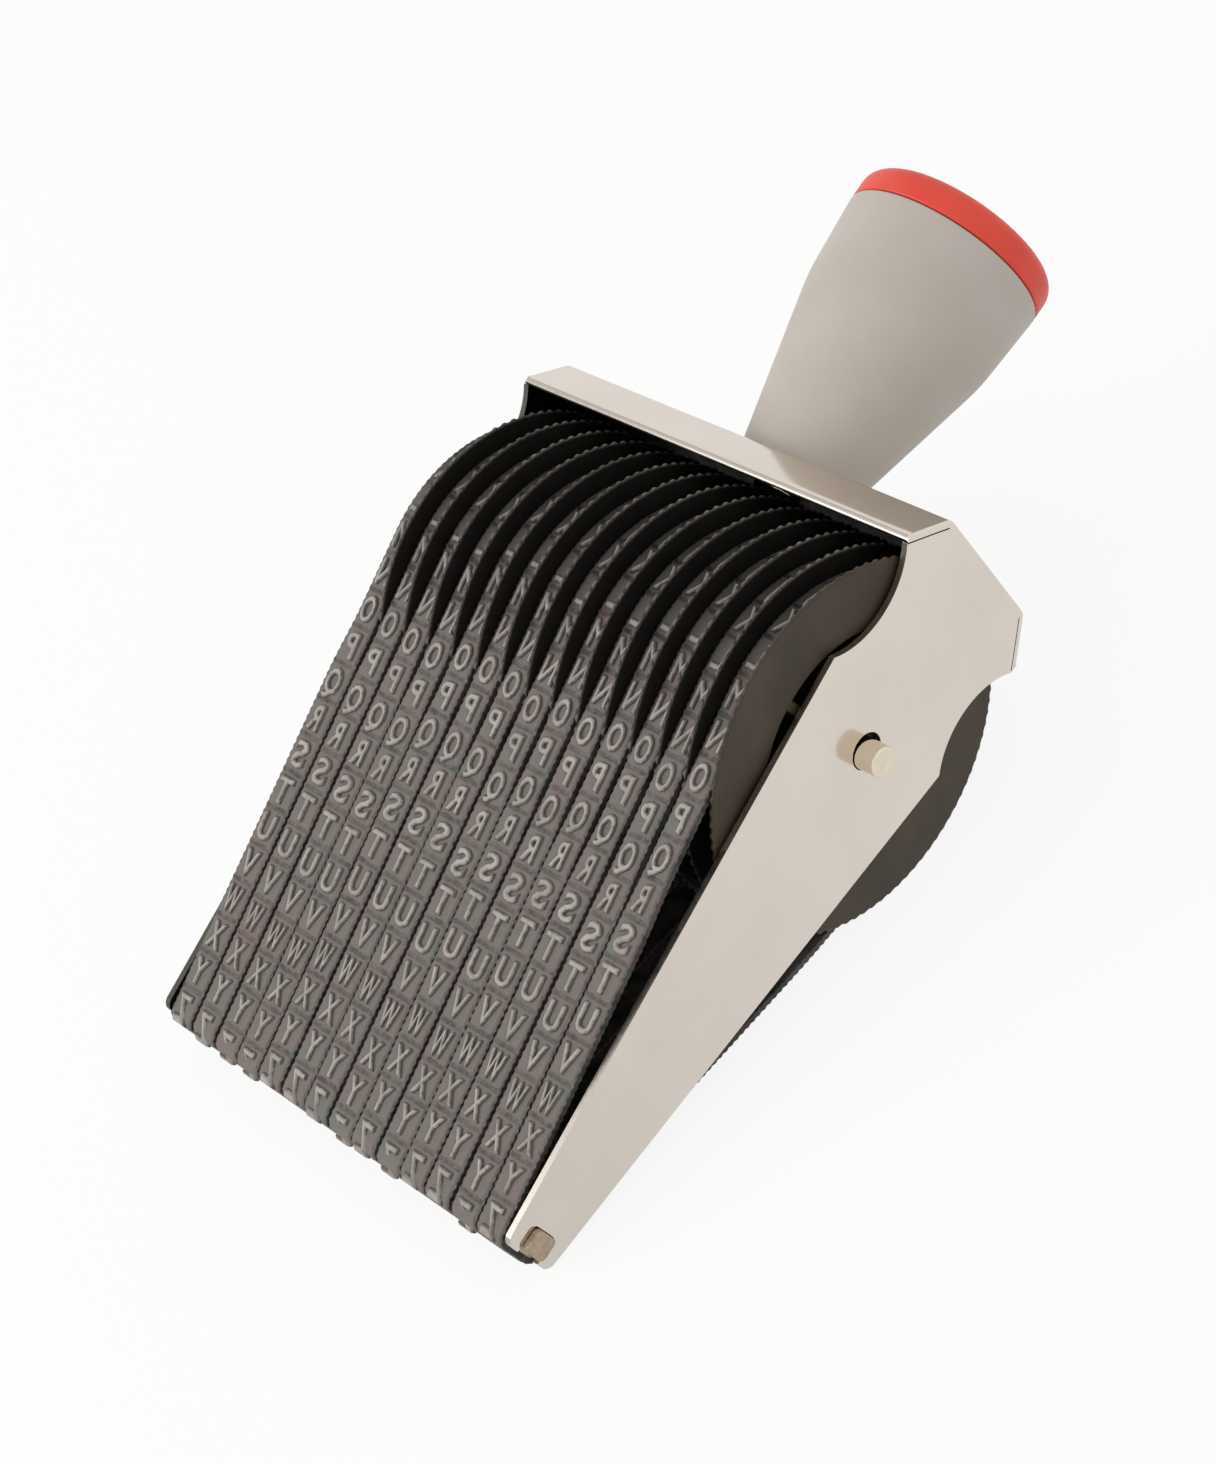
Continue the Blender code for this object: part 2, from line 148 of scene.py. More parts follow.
def apply_steps(piece: bpy.types.Object) -> None:
    """Apply a piece's modifiers in order.

    Args:
        piece: The object that carries them.
    """
    take(piece)
    for step in list(piece.modifiers):
        bpy.ops.object.modifier_apply(modifier=step.name)


def tidy_mesh(piece: bpy.types.Object) -> None:
    """Merge doubles and turn all faces outwards.

    Args:
        piece: A closed mesh.
    """
    edit(piece)
    bpy.ops.mesh.remove_doubles(threshold=MERGE)
    bpy.ops.mesh.normals_make_consistent(inside=False)
    leave()


def settle(piece: bpy.types.Object, place: Matrix) -> None:
    """Apply a piece's place to its mesh, so that its object sits at the origin.

    Args:
        piece: The finished piece, still in its own axes.
        place: Turns those axes into the CAD frame.
    """
    piece.matrix_world = place
    take(piece)
    bpy.ops.object.transform_apply(location=True, rotation=True, scale=True)


def copy_of(piece: bpy.types.Object, name: str) -> bpy.types.Object:
    """Duplicate a piece with a mesh of its own.

    Args:
        piece: The model that repeats.
        name: The copy's name.

    Returns:
        The copy.
    """
    take(piece)
    bpy.ops.object.duplicate(linked=False)
    twin = bpy.context.view_layer.objects.active
    twin.name = name
    twin.data.name = name
    return twin


def smooth(piece: bpy.types.Object, angle: float) -> None:
    """Shade a piece smooth, but for edges sharper than an angle.

    Args:
        piece: The piece.
        angle: The angle in degrees.
    """
    take(piece)
    bpy.ops.object.shade_smooth_by_angle(angle=math.radians(angle))


def draw(name: str, points: Sequence[Sequence[float]], closed: bool) -> bpy.types.Object:
    """Draw a line of edges through points, and open it in edit mode.

    Args:
        name: The piece's name.
        points: The corners in order.
        closed: True for a line that closes on itself.

    Returns:
        The line, in edit mode with everything selected.
    """
    bpy.ops.mesh.primitive_circle_add(vertices=len(points), fill_type="NOTHING")
    piece = bpy.context.object
    piece.name = name
    edit(piece)
    shape = bmesh.from_edit_mesh(piece.data)
    shape.verts.ensure_lookup_table()
    for corner, point in zip(shape.verts, points):
        corner.co = point
    if not closed:
        ends = {shape.verts[0], shape.verts[-1]}
        shape.edges.remove(next(line for line in shape.edges if set(line.verts) == ends))
    bmesh.update_edit_mesh(piece.data)
    bpy.ops.mesh.select_all(action="SELECT")
    return piece


def turned(name: str, profile: Sequence[Point], steps: int, axis: Axis, closed: bool) -> bpy.types.Object:
    """Turn a profile round the axle or the handle's axis.

    Args:
        name: The piece's name.
        profile: Points of radius and place along the axis.
        steps: Number of facets round the axis.
        axis: The axis.
        closed: True for a profile that closes on itself, false for one whose ends lie on the axis.

    Returns:
        The turned piece.
    """
    if axis is Axis.AXLE:
        points = [(place, 0, radius) for radius, place in profile]
    else:
        points = [(radius, 0, place) for radius, place in profile]
    piece = draw(name, points, closed)
    bpy.ops.mesh.spin(steps=steps, angle=math.tau, center=(0, 0, 0), axis=axis.value)
    leave()
    tidy_mesh(piece)
    return piece


def prism(name: str, outline: Sequence[Point], start: float, end: float) -> bpy.types.Object:
    """Extrude an outline of the side view along the axle.

    Args:
        name: The piece's name.
        outline: Corners in y and z.
        start: Place of one end along the axle.
        end: Place of the other end.

    Returns:
        The closed piece.
    """
    piece = draw(name, [(start, y, z) for y, z in outline], True)
    bpy.ops.mesh.edge_face_add()
    bpy.ops.mesh.extrude_region_move(TRANSFORM_OT_translate={"value": (end - start, 0, 0)})
    leave()
    tidy_mesh(piece)
    return piece


def combine(piece: bpy.types.Object, tool: bpy.types.Object, how: Solid) -> None:
    """Add one closed piece to another, or cut it away, and use it up.

    Args:
        piece: The piece that stays.
        tool: The piece that is used up.
        how: Joined or cut.
    """
    step = piece.modifiers.new("solid", "BOOLEAN")
    step.operation = how.value
    step.solver = "EXACT"
    step.object = tool
    apply_steps(piece)
    bpy.data.objects.remove(tool)


def arc(centre: Point, radius: float, start: float, end: float, steps: int) -> list[Point]:
    """Points of an arc with both ends.

    Args:
        centre: Middle of the arc.
        radius: Its radius.
        start: First angle in degrees.
        end: Last angle in degrees.
        steps: Number of segments.

    Returns:
        The points.
    """
    angles = [math.radians(start + (end - start) * step / steps) for step in range(steps + 1)]
    return [(centre[0] + radius * math.cos(a), centre[1] + radius * math.sin(a)) for a in angles]


class Paint:
    """Builds one node material."""

    def __init__(self, name: str) -> None:
        """Start a material.

        Args:
            name: The material's name.
        """
        self.material = bpy.data.materials.new(name)
        self.material.use_nodes = True
        self.nodes = self.material.node_tree.nodes
        self.links = self.material.node_tree.links
        self.shader = self.nodes["Principled BSDF"]
        self.place = self.add("ShaderNodeTexCoord").outputs["Object"]

    def add(self, kind: str, **sockets: object) -> bpy.types.Node:
        """Add a node.

        Args:
            kind: Blender's name of the node type.
            sockets: Values of its inputs by name, with underscores for spaces.

        Returns:
            The node.
        """
        node = self.nodes.new(kind)
        for key, value in sockets.items():
            node.inputs[key.replace("_", " ")].default_value = value
        return node

    def link(self, start: bpy.types.NodeSocket, end: bpy.types.NodeSocket) -> None:
        """Join two sockets."""
        self.links.new(start, end)

    def set(self, **sockets: object) -> None:
        """Set plain values on the shader's own sockets."""
        for key, value in sockets.items():
            self.shader.inputs[key.replace("_", " ")].default_value = value

    def noise(self, scale: float, detail: float,
              stretch: Sequence[float] = (1, 1, 1)) -> bpy.types.NodeSocket:
        """Add a noise pattern in object space.

        Args:
            scale: Patches per metre.
            detail: Octaves.
            stretch: Scale along each axis.

        Returns:
            The pattern's value socket.
        """
        mapping = self.add("ShaderNodeMapping", Scale=stretch)
        self.link(self.place, mapping.inputs["Vector"])
        pattern = self.add("ShaderNodeTexNoise", Scale=scale, Detail=detail)
        self.link(mapping.outputs["Vector"], pattern.inputs["Vector"])
        return pattern.outputs["Fac"]

    def along(self, axis: str, low: float, high: float) -> bpy.types.NodeSocket:
        """Add a value that grows from 0 to 1 between two places along an axis of the piece.

        Args:
            axis: X, Y or Z.
            low: Where it starts to grow.
            high: Where it reaches 1.

        Returns:
            The value's socket.
        """
        place = self.nodes.new("ShaderNodeTexCoord")
        split = self.nodes.new("ShaderNodeSeparateXYZ")
        share = self.add("ShaderNodeMapRange", From_Min=low, From_Max=high)
        self.link(place.outputs["Object"], split.inputs[0])
        self.link(split.outputs[axis], share.inputs["Value"])
        return share.outputs["Result"]

    def attribute(self, name: str) -> bpy.types.NodeSocket:
        """Return the value that the mesh carries under a name."""
        node = self.nodes.new("ShaderNodeAttribute")
        node.attribute_name = name
        return node.outputs["Fac"]

    def spread(self, source: bpy.types.NodeSocket, low: float, high: float) -> bpy.types.NodeSocket:
        """Stretch the middle of a pattern over a range.

        Args:
            source: A value mostly between 0.3 and 0.7.
            low: Result at 0.3.
            high: Result at 0.7.

        Returns:
            The stretched value.
        """
        node = self.add("ShaderNodeMapRange", From_Min=0.3, From_Max=0.7, To_Min=low, To_Max=high)
        self.link(source, node.inputs["Value"])
        return node.outputs["Result"]

    def ramp(self, source: bpy.types.NodeSocket, stops: Sequence[tuple[float, Rgb]]) -> bpy.types.NodeSocket:
        """Turn a value into a colour.

        Args:
            source: The value.
            stops: Places from 0 to 1 and their sRGB colours.

        Returns:
            The colour.
        """
        node = self.add("ShaderNodeValToRGB")
        stack = node.color_ramp.elements
        while len(stack) < len(stops):
            stack.new(0.5)
        for stop, (place, rgb) in zip(stack, stops):
            stop.position = place
            stop.color = linear(rgb)
        self.link(source, node.inputs["Fac"])
        return node.outputs["Color"]

    def blend(self, share: bpy.types.NodeSocket, first: bpy.types.NodeSocket,
              second: bpy.types.NodeSocket) -> bpy.types.NodeSocket:
        """Mix two colours.

        Args:
            share: Share of the second colour.
            first: First colour.
            second: Second colour.

        Returns:
            The mixed colour.
        """
        node = self.nodes.new("ShaderNodeMix")
        node.data_type = "RGBA"
        self.link(share, node.inputs[0])
        self.link(first, node.inputs[6])
        self.link(second, node.inputs[7])
        return node.outputs[2]

    def tones(self, source: bpy.types.NodeSocket, deep: Rgb, pale: Rgb) -> bpy.types.NodeSocket:
        """Return a colour that drifts with a pattern between a deep and a pale tone."""
        return self.ramp(source, [(0.3, deep), (0.7, pale)])

    def colour(self, source: bpy.types.NodeSocket) -> None:
        """Give the surface its colour."""
        self.link(source, self.shader.inputs["Base Color"])

    def texture(self, pattern: bpy.types.NodeSocket, roughness: Point, depth: float, strength: float) -> None:
        """Let a pattern set how rough the surface is, and raise it.

        Args:
            pattern: The pattern.
            roughness: Its least and greatest roughness.
            depth: Its depth in metres.
            strength: How far the normal follows it.
        """
        self.link(self.spread(pattern, *roughness), self.shader.inputs["Roughness"])
        self.bump(pattern, depth, strength)

    def bump(self, height: bpy.types.NodeSocket, depth: float, strength: float) -> None:
        """Raise the surface by a pattern.

        Args:
            height: The pattern.
            depth: Its depth in metres.
            strength: How far the normal follows it.
        """
        node = self.add("ShaderNodeBump", Strength=strength, Distance=depth)
        self.link(height, node.inputs["Height"])
        self.link(node.outputs["Normal"], self.shader.inputs["Normal"])


@dataclass(frozen=True)
class NickelPlate:
    """Bright plate on the bent sheet with a faint rub texture; painted shade makes it darker towards the
    feet, and its inner side and cut edges are painted dark as shade and made rougher.
    """

    pale: Rgb = (219, 210, 200)
    deep: Rgb = (213, 204, 194)
    # Painted shade: these two tones make the plate darker towards its feet, between the places given below.
    foot_shade_pale: Rgb = (208, 200, 191)
    painted_light: Rgb = (202, 194, 185)
    feet: Point = (-0.065, -0.010)
    # Painted shade: near-black tones for the sheet's inner side and the plates' cut edges.
    shade_pale: Rgb = (40, 37, 34)
    shade_deep: Rgb = (28, 26, 24)
    roughness: Point = (0.10, 0.16)
    shaded_roughness: Point = (0.5, 0.65)

    def make(self) -> bpy.types.Material:
        """Return the material."""
        paint = Paint("nickel_plate")
        # This attribute says how far each face is painted dark as shade.
        painted_shade = paint.attribute("painted_shade")
        cloud = paint.noise(60, 3)
        top = paint.tones(cloud, self.deep, self.pale)
        # Painted shade: the colour darkens towards the feet along the piece's Y.
        foot = paint.tones(cloud, self.painted_light, self.foot_shade_pale)
        bright = paint.blend(paint.along("Y", *self.feet), foot, top)
        shaded_tone = paint.tones(cloud, self.shade_deep, self.shade_pale)
        paint.colour(paint.blend(painted_shade, bright, shaded_tone))
        rub = paint.noise(900, 4, (1, 1, 0.05))
        polish = paint.nodes.new("ShaderNodeMix")
        paint.link(painted_shade, polish.inputs[0])
        paint.link(paint.spread(rub, *self.roughness), polish.inputs[2])
        paint.link(paint.spread(rub, *self.shaded_roughness), polish.inputs[3])
        paint.link(polish.outputs[0], paint.shader.inputs["Roughness"])
        paint.bump(rub, 0.000004, 0.15)
        paint.set(Metallic=1.0)
        return paint.material


@dataclass(frozen=True)
class PinSteel:
    """Turned and polished steel of the pin and the screw."""

    pale: Rgb = (226, 214, 195)
    deep: Rgb = (218, 206, 187)
    roughness: Point = (0.10, 0.17)

    def make(self) -> bpy.types.Material:
        """Return the material."""
        paint = Paint("pin_steel")
        rings = paint.noise(2600, 3, (4, 0.3, 0.3))
        paint.colour(paint.ramp(rings, [(0.35, self.deep), (0.65, self.pale)]))
        paint.texture(rings, self.roughness, 0.000002, 0.1)
        paint.set(Metallic=1.0)
        return paint.material


@dataclass(frozen=True)
class PlatenSteel:
    """Dull grey metal of the platen, drawn along its length."""

    pale: Rgb = (186, 168, 146)
    deep: Rgb = (148, 132, 112)
    roughness: Point = (0.34, 0.52)

    def make(self) -> bpy.types.Material:
        """Return the material."""
        paint = Paint("platen_steel")
        grain = paint.noise(1400, 4, (0.06, 1, 1))
        paint.colour(paint.tones(grain, self.deep, self.pale))
        paint.texture(grain, self.roughness, 0.00002, 0.3)
        paint.set(Metallic=1.0)
        return paint.material


@dataclass(frozen=True)
class WheelPlastic:
    """Dark moulded plastic of the thumb wheels, painted black as shade between the bands, and paler on the
    knurl crests as a painted highlight.
    """

    pale: Rgb = (70, 58, 44)
    deep: Rgb = (56, 46, 34)
    # Painted shade: near-black tones for the wheel faces between the bands.
    gap_shaded: Rgb = (20, 18, 16)
    gap_shaded_deep: Rgb = (14, 12, 11)
    # Painted highlight: a paler tone on the knurl crests.
    crest_highlight: Rgb = (118, 110, 100)
    roughness: Point = (0.46, 0.58)

    def make(self) -> bpy.types.Material:
        """Return the material."""
        paint = Paint("wheel_plastic")
        paint.set(Specular_IOR_Level=0.35)
        cloud = paint.noise(160, 4)
        clean = paint.tones(cloud, self.deep, self.pale)
        gap_shaded_tone = paint.tones(cloud, self.gap_shaded_deep, self.gap_shaded)
        painted_light = paint.tones(cloud, self.pale, self.crest_highlight)
        gap_shaded = paint.blend(paint.attribute("painted_gap_shade"), clean, gap_shaded_tone)
        paint.colour(paint.blend(paint.attribute("painted_light"), gap_shaded, painted_light))
        grain = paint.noise(5200, 2)
        paint.texture(grain, self.roughness, 0.00002, 0.25)
        return paint.material


@dataclass(frozen=True)
class TypeRubber:
    """Matt rubber of the bands, coloured by height as painted light: dark as shade in the gaps between the
    bands, in the grooves and on the type's flanks, and paler as a highlight on the faces of the type, with
    some random wear.
    """

    # Painted shade and highlight: colours by height, dark in the gap, the grooves and on the flanks, pale on
    # the faces.
    gap: Rgb = (20, 19, 18)
    groove: Rgb = (88, 82, 78)
    pad: Rgb = (115, 108, 103)
    flank: Rgb = (62, 57, 54)
    face: Rgb = (184, 177, 171)
    warm: Rgb = (128, 109, 107)
    cool: Rgb = (110, 115, 106)
    # Painted shade: darker tones for the bands where they climb their wheels.
    arc_shade_gap: Rgb = (14, 13, 12)
    arc_shade_groove: Rgb = (18, 17, 16)
    arc_shade_pad: Rgb = (60, 58, 53)
    arc_shade_flank: Rgb = (50, 48, 44)
    arc_shade_face: Rgb = (144, 139, 133)
    roughness: Point = (0.62, 0.82)
    lowest: float = -0.5
    highest: float = 1.05
    wear: float = 0.10
    heights: tuple[float, ...] = (0.22, 0.37, 0.46, 0.57, 0.74, 0.96)

    def share(self, rise: float) -> float:
        """Return the place of a height, in millimetres over the pitch line, on the colour ramp."""
        return (rise - self.lowest) / (self.highest - self.lowest)

    def stops(self, colours: Sequence[Rgb]) -> list[tuple[float, Rgb]]:
        """Return the colours by height, from the gap between the bands to the face of the type."""
        return [(self.share(rise), colour) for rise, colour in zip(self.heights, colours)]

    def make(self) -> bpy.types.Material:
        """Return the material."""
        paint = Paint("type_rubber")
        wear = paint.nodes.new("ShaderNodeMath")
        paint.link(paint.attribute("rise"), wear.inputs[0])
        paint.link(paint.spread(paint.noise(1300, 3), -self.wear, self.wear), wear.inputs[1])
        height = paint.add("ShaderNodeMapRange", From_Min=self.lowest, From_Max=self.highest)
        paint.link(wear.outputs[0], height.inputs["Value"])
        # Painted shade and highlight: the colour follows the height of the rubber.
        off_arc_stops = (self.gap, self.groove, self.pad, self.pad, self.flank, self.face)
        # Painted shade for the stretch of band on its wheel.
        arc_shaded_stops = (self.arc_shade_gap, self.arc_shade_groove, self.arc_shade_pad, self.arc_shade_pad,
                self.arc_shade_flank, self.arc_shade_face)
        clean = paint.ramp(height.outputs["Result"], self.stops(off_arc_stops))
        dark = paint.ramp(height.outputs["Result"], self.stops(arc_shaded_stops))
        tint = paint.ramp(paint.noise(260, 3), [(0.35, self.cool), (0.65, self.warm)])
        patches = paint.spread(paint.noise(330, 4), 0.1, 0.6)
        mottled = paint.blend(patches, clean, tint)
        paint.colour(paint.blend(paint.attribute("arc_shade"), mottled, dark))
        grain = paint.noise(4200, 3)
        paint.texture(grain, self.roughness, 0.00004, 0.35)
        paint.set(Specular_IOR_Level=0.35)
        return paint.material


@dataclass(frozen=True)
class HandlePlastic:
    """Warm grey satin plastic of the handle."""

    pale: Rgb = (194, 185, 176)
    deep: Rgb = (187, 178, 168)
    roughness: Point = (0.46, 0.58)

    def make(self) -> bpy.types.Material:
        """Return the material."""
        paint = Paint("handle_plastic")
        cloud = paint.noise(110, 4)
        paint.colour(paint.tones(cloud, self.deep, self.pale))
        grain = paint.noise(3600, 3)
        paint.texture(grain, self.roughness, 0.00002, 0.2)
        return paint.material


@dataclass(frozen=True)
class CapPlastic:
    """Red moulded plastic of the cap."""

    pale: Rgb = (230, 72, 52)
    deep: Rgb = (219, 60, 42)
    roughness: Point = (0.4, 0.5)

    def make(self) -> bpy.types.Material:
        """Return the material."""
        paint = Paint("cap_plastic")
        cloud = paint.noise(140, 3)
        paint.colour(paint.tones(cloud, self.deep, self.pale))
        grain = paint.noise(3000, 2)
        paint.texture(grain, self.roughness, 0.000015, 0.2)
        return paint.material


@dataclass(frozen=True)
class Stamp:
    """Where the stamp lies in the CAD frame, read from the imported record."""

    axle: Vector
    up: Vector

    @classmethod
    def packed(cls) -> "Stamp":
        """Return the place that the joints and the cap's mount give."""
        joints = frame["joints"]
        cap = next(mount for mount in frame["record"]["mounts"] if mount["name"] == "cap_top")
        return cls(Vector(joints[0]["pos_m"]), Vector(cap["axis"]))

    @property
    def place(self) -> Matrix:
        """Matrix from the stamp's own axes into the CAD frame."""
        along = Vector((1, 0, 0))
        turn = Matrix((along, self.up.cross(along), self.up)).transposed().to_4x4()
        return Matrix.Translation(self.axle) @ turn

    def dress(self, piece: bpy.types.Object, body: str, node: str, slot: str,
              finish: bpy.types.Material) -> None:
        """Args:
            piece: The piece, settled in the CAD frame.
            body: CAD body that it moves with.
            node: CAD node that it stands for.
            slot: The record's material slot; not used.
            finish: Its material.
        """
        piece.data.materials.clear()
        piece.data.materials.append(finish)
        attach(piece, body)
        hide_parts(node)
        LOG.info("%s rides on %s for %s, %d faces", piece.name, body, node, len(piece.data.polygons))


@dataclass
class TypeBands:
    """Fourteen rubber bands with mirrored type, each wrapped round its wheel and the platen."""

    stamp: Stamp
    count: int = 14
    characters: str = "ZYXWVUTSRQPONMLKJIHGFEDCBA0987654321-/.&+* "
    module: float = 4.6 * MM
    width: float = 3.9 * MM
    edge_gap: float = 0.05 * MM
    spread: float = 1.13
    floor: float = -0.5 * MM
    deck: float = 0.35 * MM
    pad_top: float = 0.52 * MM
    type_top: float = 0.98 * MM
    pad_inset: float = 0.16 * MM
    pad_taper: float = 0.955
    pad_ease: float = 0.17 * MM
    tooth_depth: float = 0.14 * MM
    teeth: int = 5
    wrap_radius: float = 20.87 * MM
    platen_half: float = 2.53 * MM
    platen_line: float = -71.15 * MM
    fold_radius: float = 1.25 * MM
    fold_bulge: float = 0.9 * MM
    letter_size: float = 4.75 * MM
    letter_height: float = 3.35 * MM
    letter_width: float = 2.35 * MM
    letter_extrude: float = 0.18 * MM
    letter_bevel: float = 0.25 * MM
    letter_offset: float = -0.04 * MM
    free_fronts: Point = (-24.0 * MM, -35.0 * MM)
    free_behind: float = -24.0 * MM
    fade: float = 8.0 * MM
    # Painted shade: heights between which the bands darken as they climb their wheels.
    arc_shade_heights: Point = (-6.0 * MM, 8.5 * MM)
    # Each band stands a little short of a whole character, as the hand left it, and leans to one side.
    turns: tuple[float, ...] = (-0.17, -0.28, -0.39, -0.45, -0.16, -0.15, -0.21,
                                -0.49, -0.25, -0.38, -0.18, -0.14, -0.47, -0.13)
    drifts: tuple[float, ...] = (-0.24, -0.10, 0.10, -0.04, -0.10, 0.08, -0.10,
                                 0.10, -0.06, 0.12, -0.08, -0.12, 0.12, 0.06)

    def path(self) -> list[Point]:
        """Return the pitch line of a band in y and z, from the front edge of the platen up and round."""
        corner = Vector((self.platen_half, self.platen_line))
        away = corner.length
        lean = math.degrees(math.atan2(corner.y, corner.x) + math.acos(self.wrap_radius / away))
        run = math.radians(90 - lean)
        fold = self.fold_radius * math.tan((math.pi - run) / 2)
        bottom = self.platen_line + self.fold_radius
        side = (self.platen_half - fold + self.fold_bulge, bottom)
        down = arc((0, 0), self.wrap_radius, 90, lean, 70)
        corner_arc = arc(side, self.fold_radius, lean, -90, 12)
        start = Vector(down[-1])
        straight = [tuple(start.lerp(Vector(corner_arc[0]), step / 40)) for step in range(1, 40)]
        right = down + straight + corner_arc
        left = [(-y, z) for y, z in reversed(right)]
        flat = [(self.platen_half * (0.5 - step / 8), self.platen_line) for step in range(1, 8)]
        loop = left[:-1] + right + flat
        return loop

    def curve(self) -> tuple[bpy.types.Object, float]:
        """Make the path that the bands are wrapped on.

        Returns:
            The curve, and its length.
        """
        points = self.path()
        middle = len(arc((0, 0), 1, 0, 1, 12)) // 2
        points = points[middle:] + points[:middle]
        data = bpy.data.curves.new("band_path", "CURVE")
        data.dimensions = "2D"
        data.use_deform_bounds = False
        line = data.splines.new("POLY")
        line.points.add(len(points) - 1)
        for knot, (y, z) in zip(line.points, points):
            knot.co = (y, z, 0, 1)
        line.use_cyclic_u = True
        path = bpy.data.objects.new("band_path", data)
        bpy.context.collection.objects.link(path)
        length = sum(math.dist(a, b) for a, b in zip(points, points[1:] + points[:1]))
        return path, length

    def pad(self, pitch: float) -> bpy.types.Object:
        """Model one character's stretch of a band, open at both ends.

        Args:
            pitch: Its length.

        Returns:
            The piece, along x, with its outer side at +y.
        """
        middle = (pitch / 2, (self.floor + self.deck) / 2, 0)
        size = (pitch, self.deck - self.floor, self.width)
        bpy.ops.mesh.primitive_cube_add(size=1, location=middle, scale=size)
        pad = bpy.context.object
        pad.name = "type_strip"
        bpy.ops.object.transform_apply(location=True, rotation=True, scale=True)
        edit(pad)
        pick(Pick.EDGES, lambda at, run: abs(run.x) > 0.9)
        bpy.ops.mesh.subdivide(number_cuts=2 * self.teeth - 1)
        pick(Pick.FACES, lambda at, normal: abs(normal.x) > 0.9)
        bpy.ops.mesh.delete(type="ONLY_FACE")
        pick(Pick.FACES, lambda at, normal: normal.y > 0.9)
        bpy.ops.mesh.inset(thickness=self.pad_inset)
        bpy.ops.mesh.extrude_region_move(TRANSFORM_OT_translate={"value": (0, self.pad_top - self.deck, 0)})
        centre = (pitch / 2, self.pad_top, 0)
        bpy.ops.transform.resize(value=(self.pad_taper, 1, self.pad_taper), center_override=centre)
        bpy.ops.mesh.region_to_loop()
        bpy.ops.mesh.bevel(offset=self.pad_ease, segments=1)
        step = pitch / (2 * self.teeth)
        edge = self.width / 2 - MERGE
        pick(Pick.CORNERS, lambda at, normal: abs(at.z) > edge and round(at.x / step) % 2 == 1)
        share = 1 - 2 * self.tooth_depth / self.width
        bpy.ops.transform.resize(value=(1, 1, share), center_override=(0, 0, 0))
        leave()
        return pad

    def letter(self, character: str, at: float) -> bpy.types.Object:
        """Model one raised character, mirrored as type is.

        Args:
            character: What it prints.
            at: Middle of its pad along the strip.

        Returns:
            The character on the strip.
        """
        bpy.ops.object.text_add()
        text = bpy.context.object
        text.data.body = character
        text.data.size = self.letter_size
        text.data.align_x = "CENTER"
        text.data.resolution_u = 3
        text.data.offset = self.letter_offset
        text.data.extrude = self.letter_extrude
        text.data.bevel_depth = self.letter_bevel
        text.data.bevel_resolution = 0
        bpy.ops.object.convert(target="MESH")
        piece = bpy.context.object
        wide = max(corner.co.x for corner in piece.data.vertices) * 2
        squeeze = min(1.0, self.letter_width / wide)
        middle = self.type_top - self.letter_extrude - self.letter_bevel
        mirror = Matrix(((0, 1, 0, at - self.letter_height / 2), (0, 0, 1, middle),
                         (-squeeze, 0, 0, 0), (0, 0, 0, 1)))
        settle(piece, mirror)
        tidy_mesh(piece)
        return piece

    def strip(self, pitch: float) -> bpy.types.Object:
        """Model a whole band laid out straight, with its type.

        Args:
            pitch: Length of one character's stretch.

        Returns:
            The strip.
        """
        strip = self.pad(pitch)
        row = strip.modifiers.new("row", "ARRAY")
        row.count = len(self.characters)
        row.use_relative_offset = False
        row.use_constant_offset = True
        row.constant_offset_displace = (pitch, 0, 0)
        row.use_merge_vertices = True
        row.merge_threshold = MERGE
        apply_steps(strip)
        letters = [self.letter(character, (index + 0.5) * pitch)
                   for index, character in enumerate(self.characters) if character.strip()]
        take(strip)
        for letter in letters:
            letter.select_set(True)
        bpy.ops.object.join()
        rise = strip.data.attributes.new("rise", "FLOAT", "POINT")
        rise.data.foreach_set("value", [corner.co.y / MM for corner in strip.data.vertices])
        return strip

    def relax(self, band: bpy.types.Object, index: int) -> None:
        """Let a wrapped band spread and wander sideways where no flange holds it.

        The further right a band is, the lower down it starts to.

        Args:
            band: The band, with its width along z and the platen at the lowest y.
            index: Its number from the left.
        """
        first, last = self.free_fronts
        front = first + (last - first) * index / (self.count - 1)
        soft = {"use_proportional_edit": True, "proportional_edit_falloff": "SMOOTH",
                "proportional_size": self.fade, "use_proportional_connected": True}
        edit(band)
        pick(Pick.CORNERS, lambda at, normal: at.y < (front if at.x < 0 else self.free_behind))
        bpy.ops.transform.resize(value=(1, 1, self.spread), center_override=(0, 0, 0), **soft)
        pick(Pick.CORNERS, lambda at, normal: at.y < front and at.x < 0)
        bpy.ops.transform.translate(value=(0, 0, self.drifts[index] * MM), **soft)
        leave()

    def shade_arcs(self, band: bpy.types.Object) -> None:
        """Note how much painted shade lies on a wrapped band, which grows as it climbs its wheel.

        Args:
            band: The band, with the platen at the lowest y.
        """
        low, high = self.arc_shade_heights
        arc_shade = [min(1.0, max(0.0, (corner.co.y - low) / (high - low))) for corner in band.data.vertices]
        band.data.attributes.new("arc_shade", "FLOAT", "POINT").data.foreach_set("value", arc_shade)

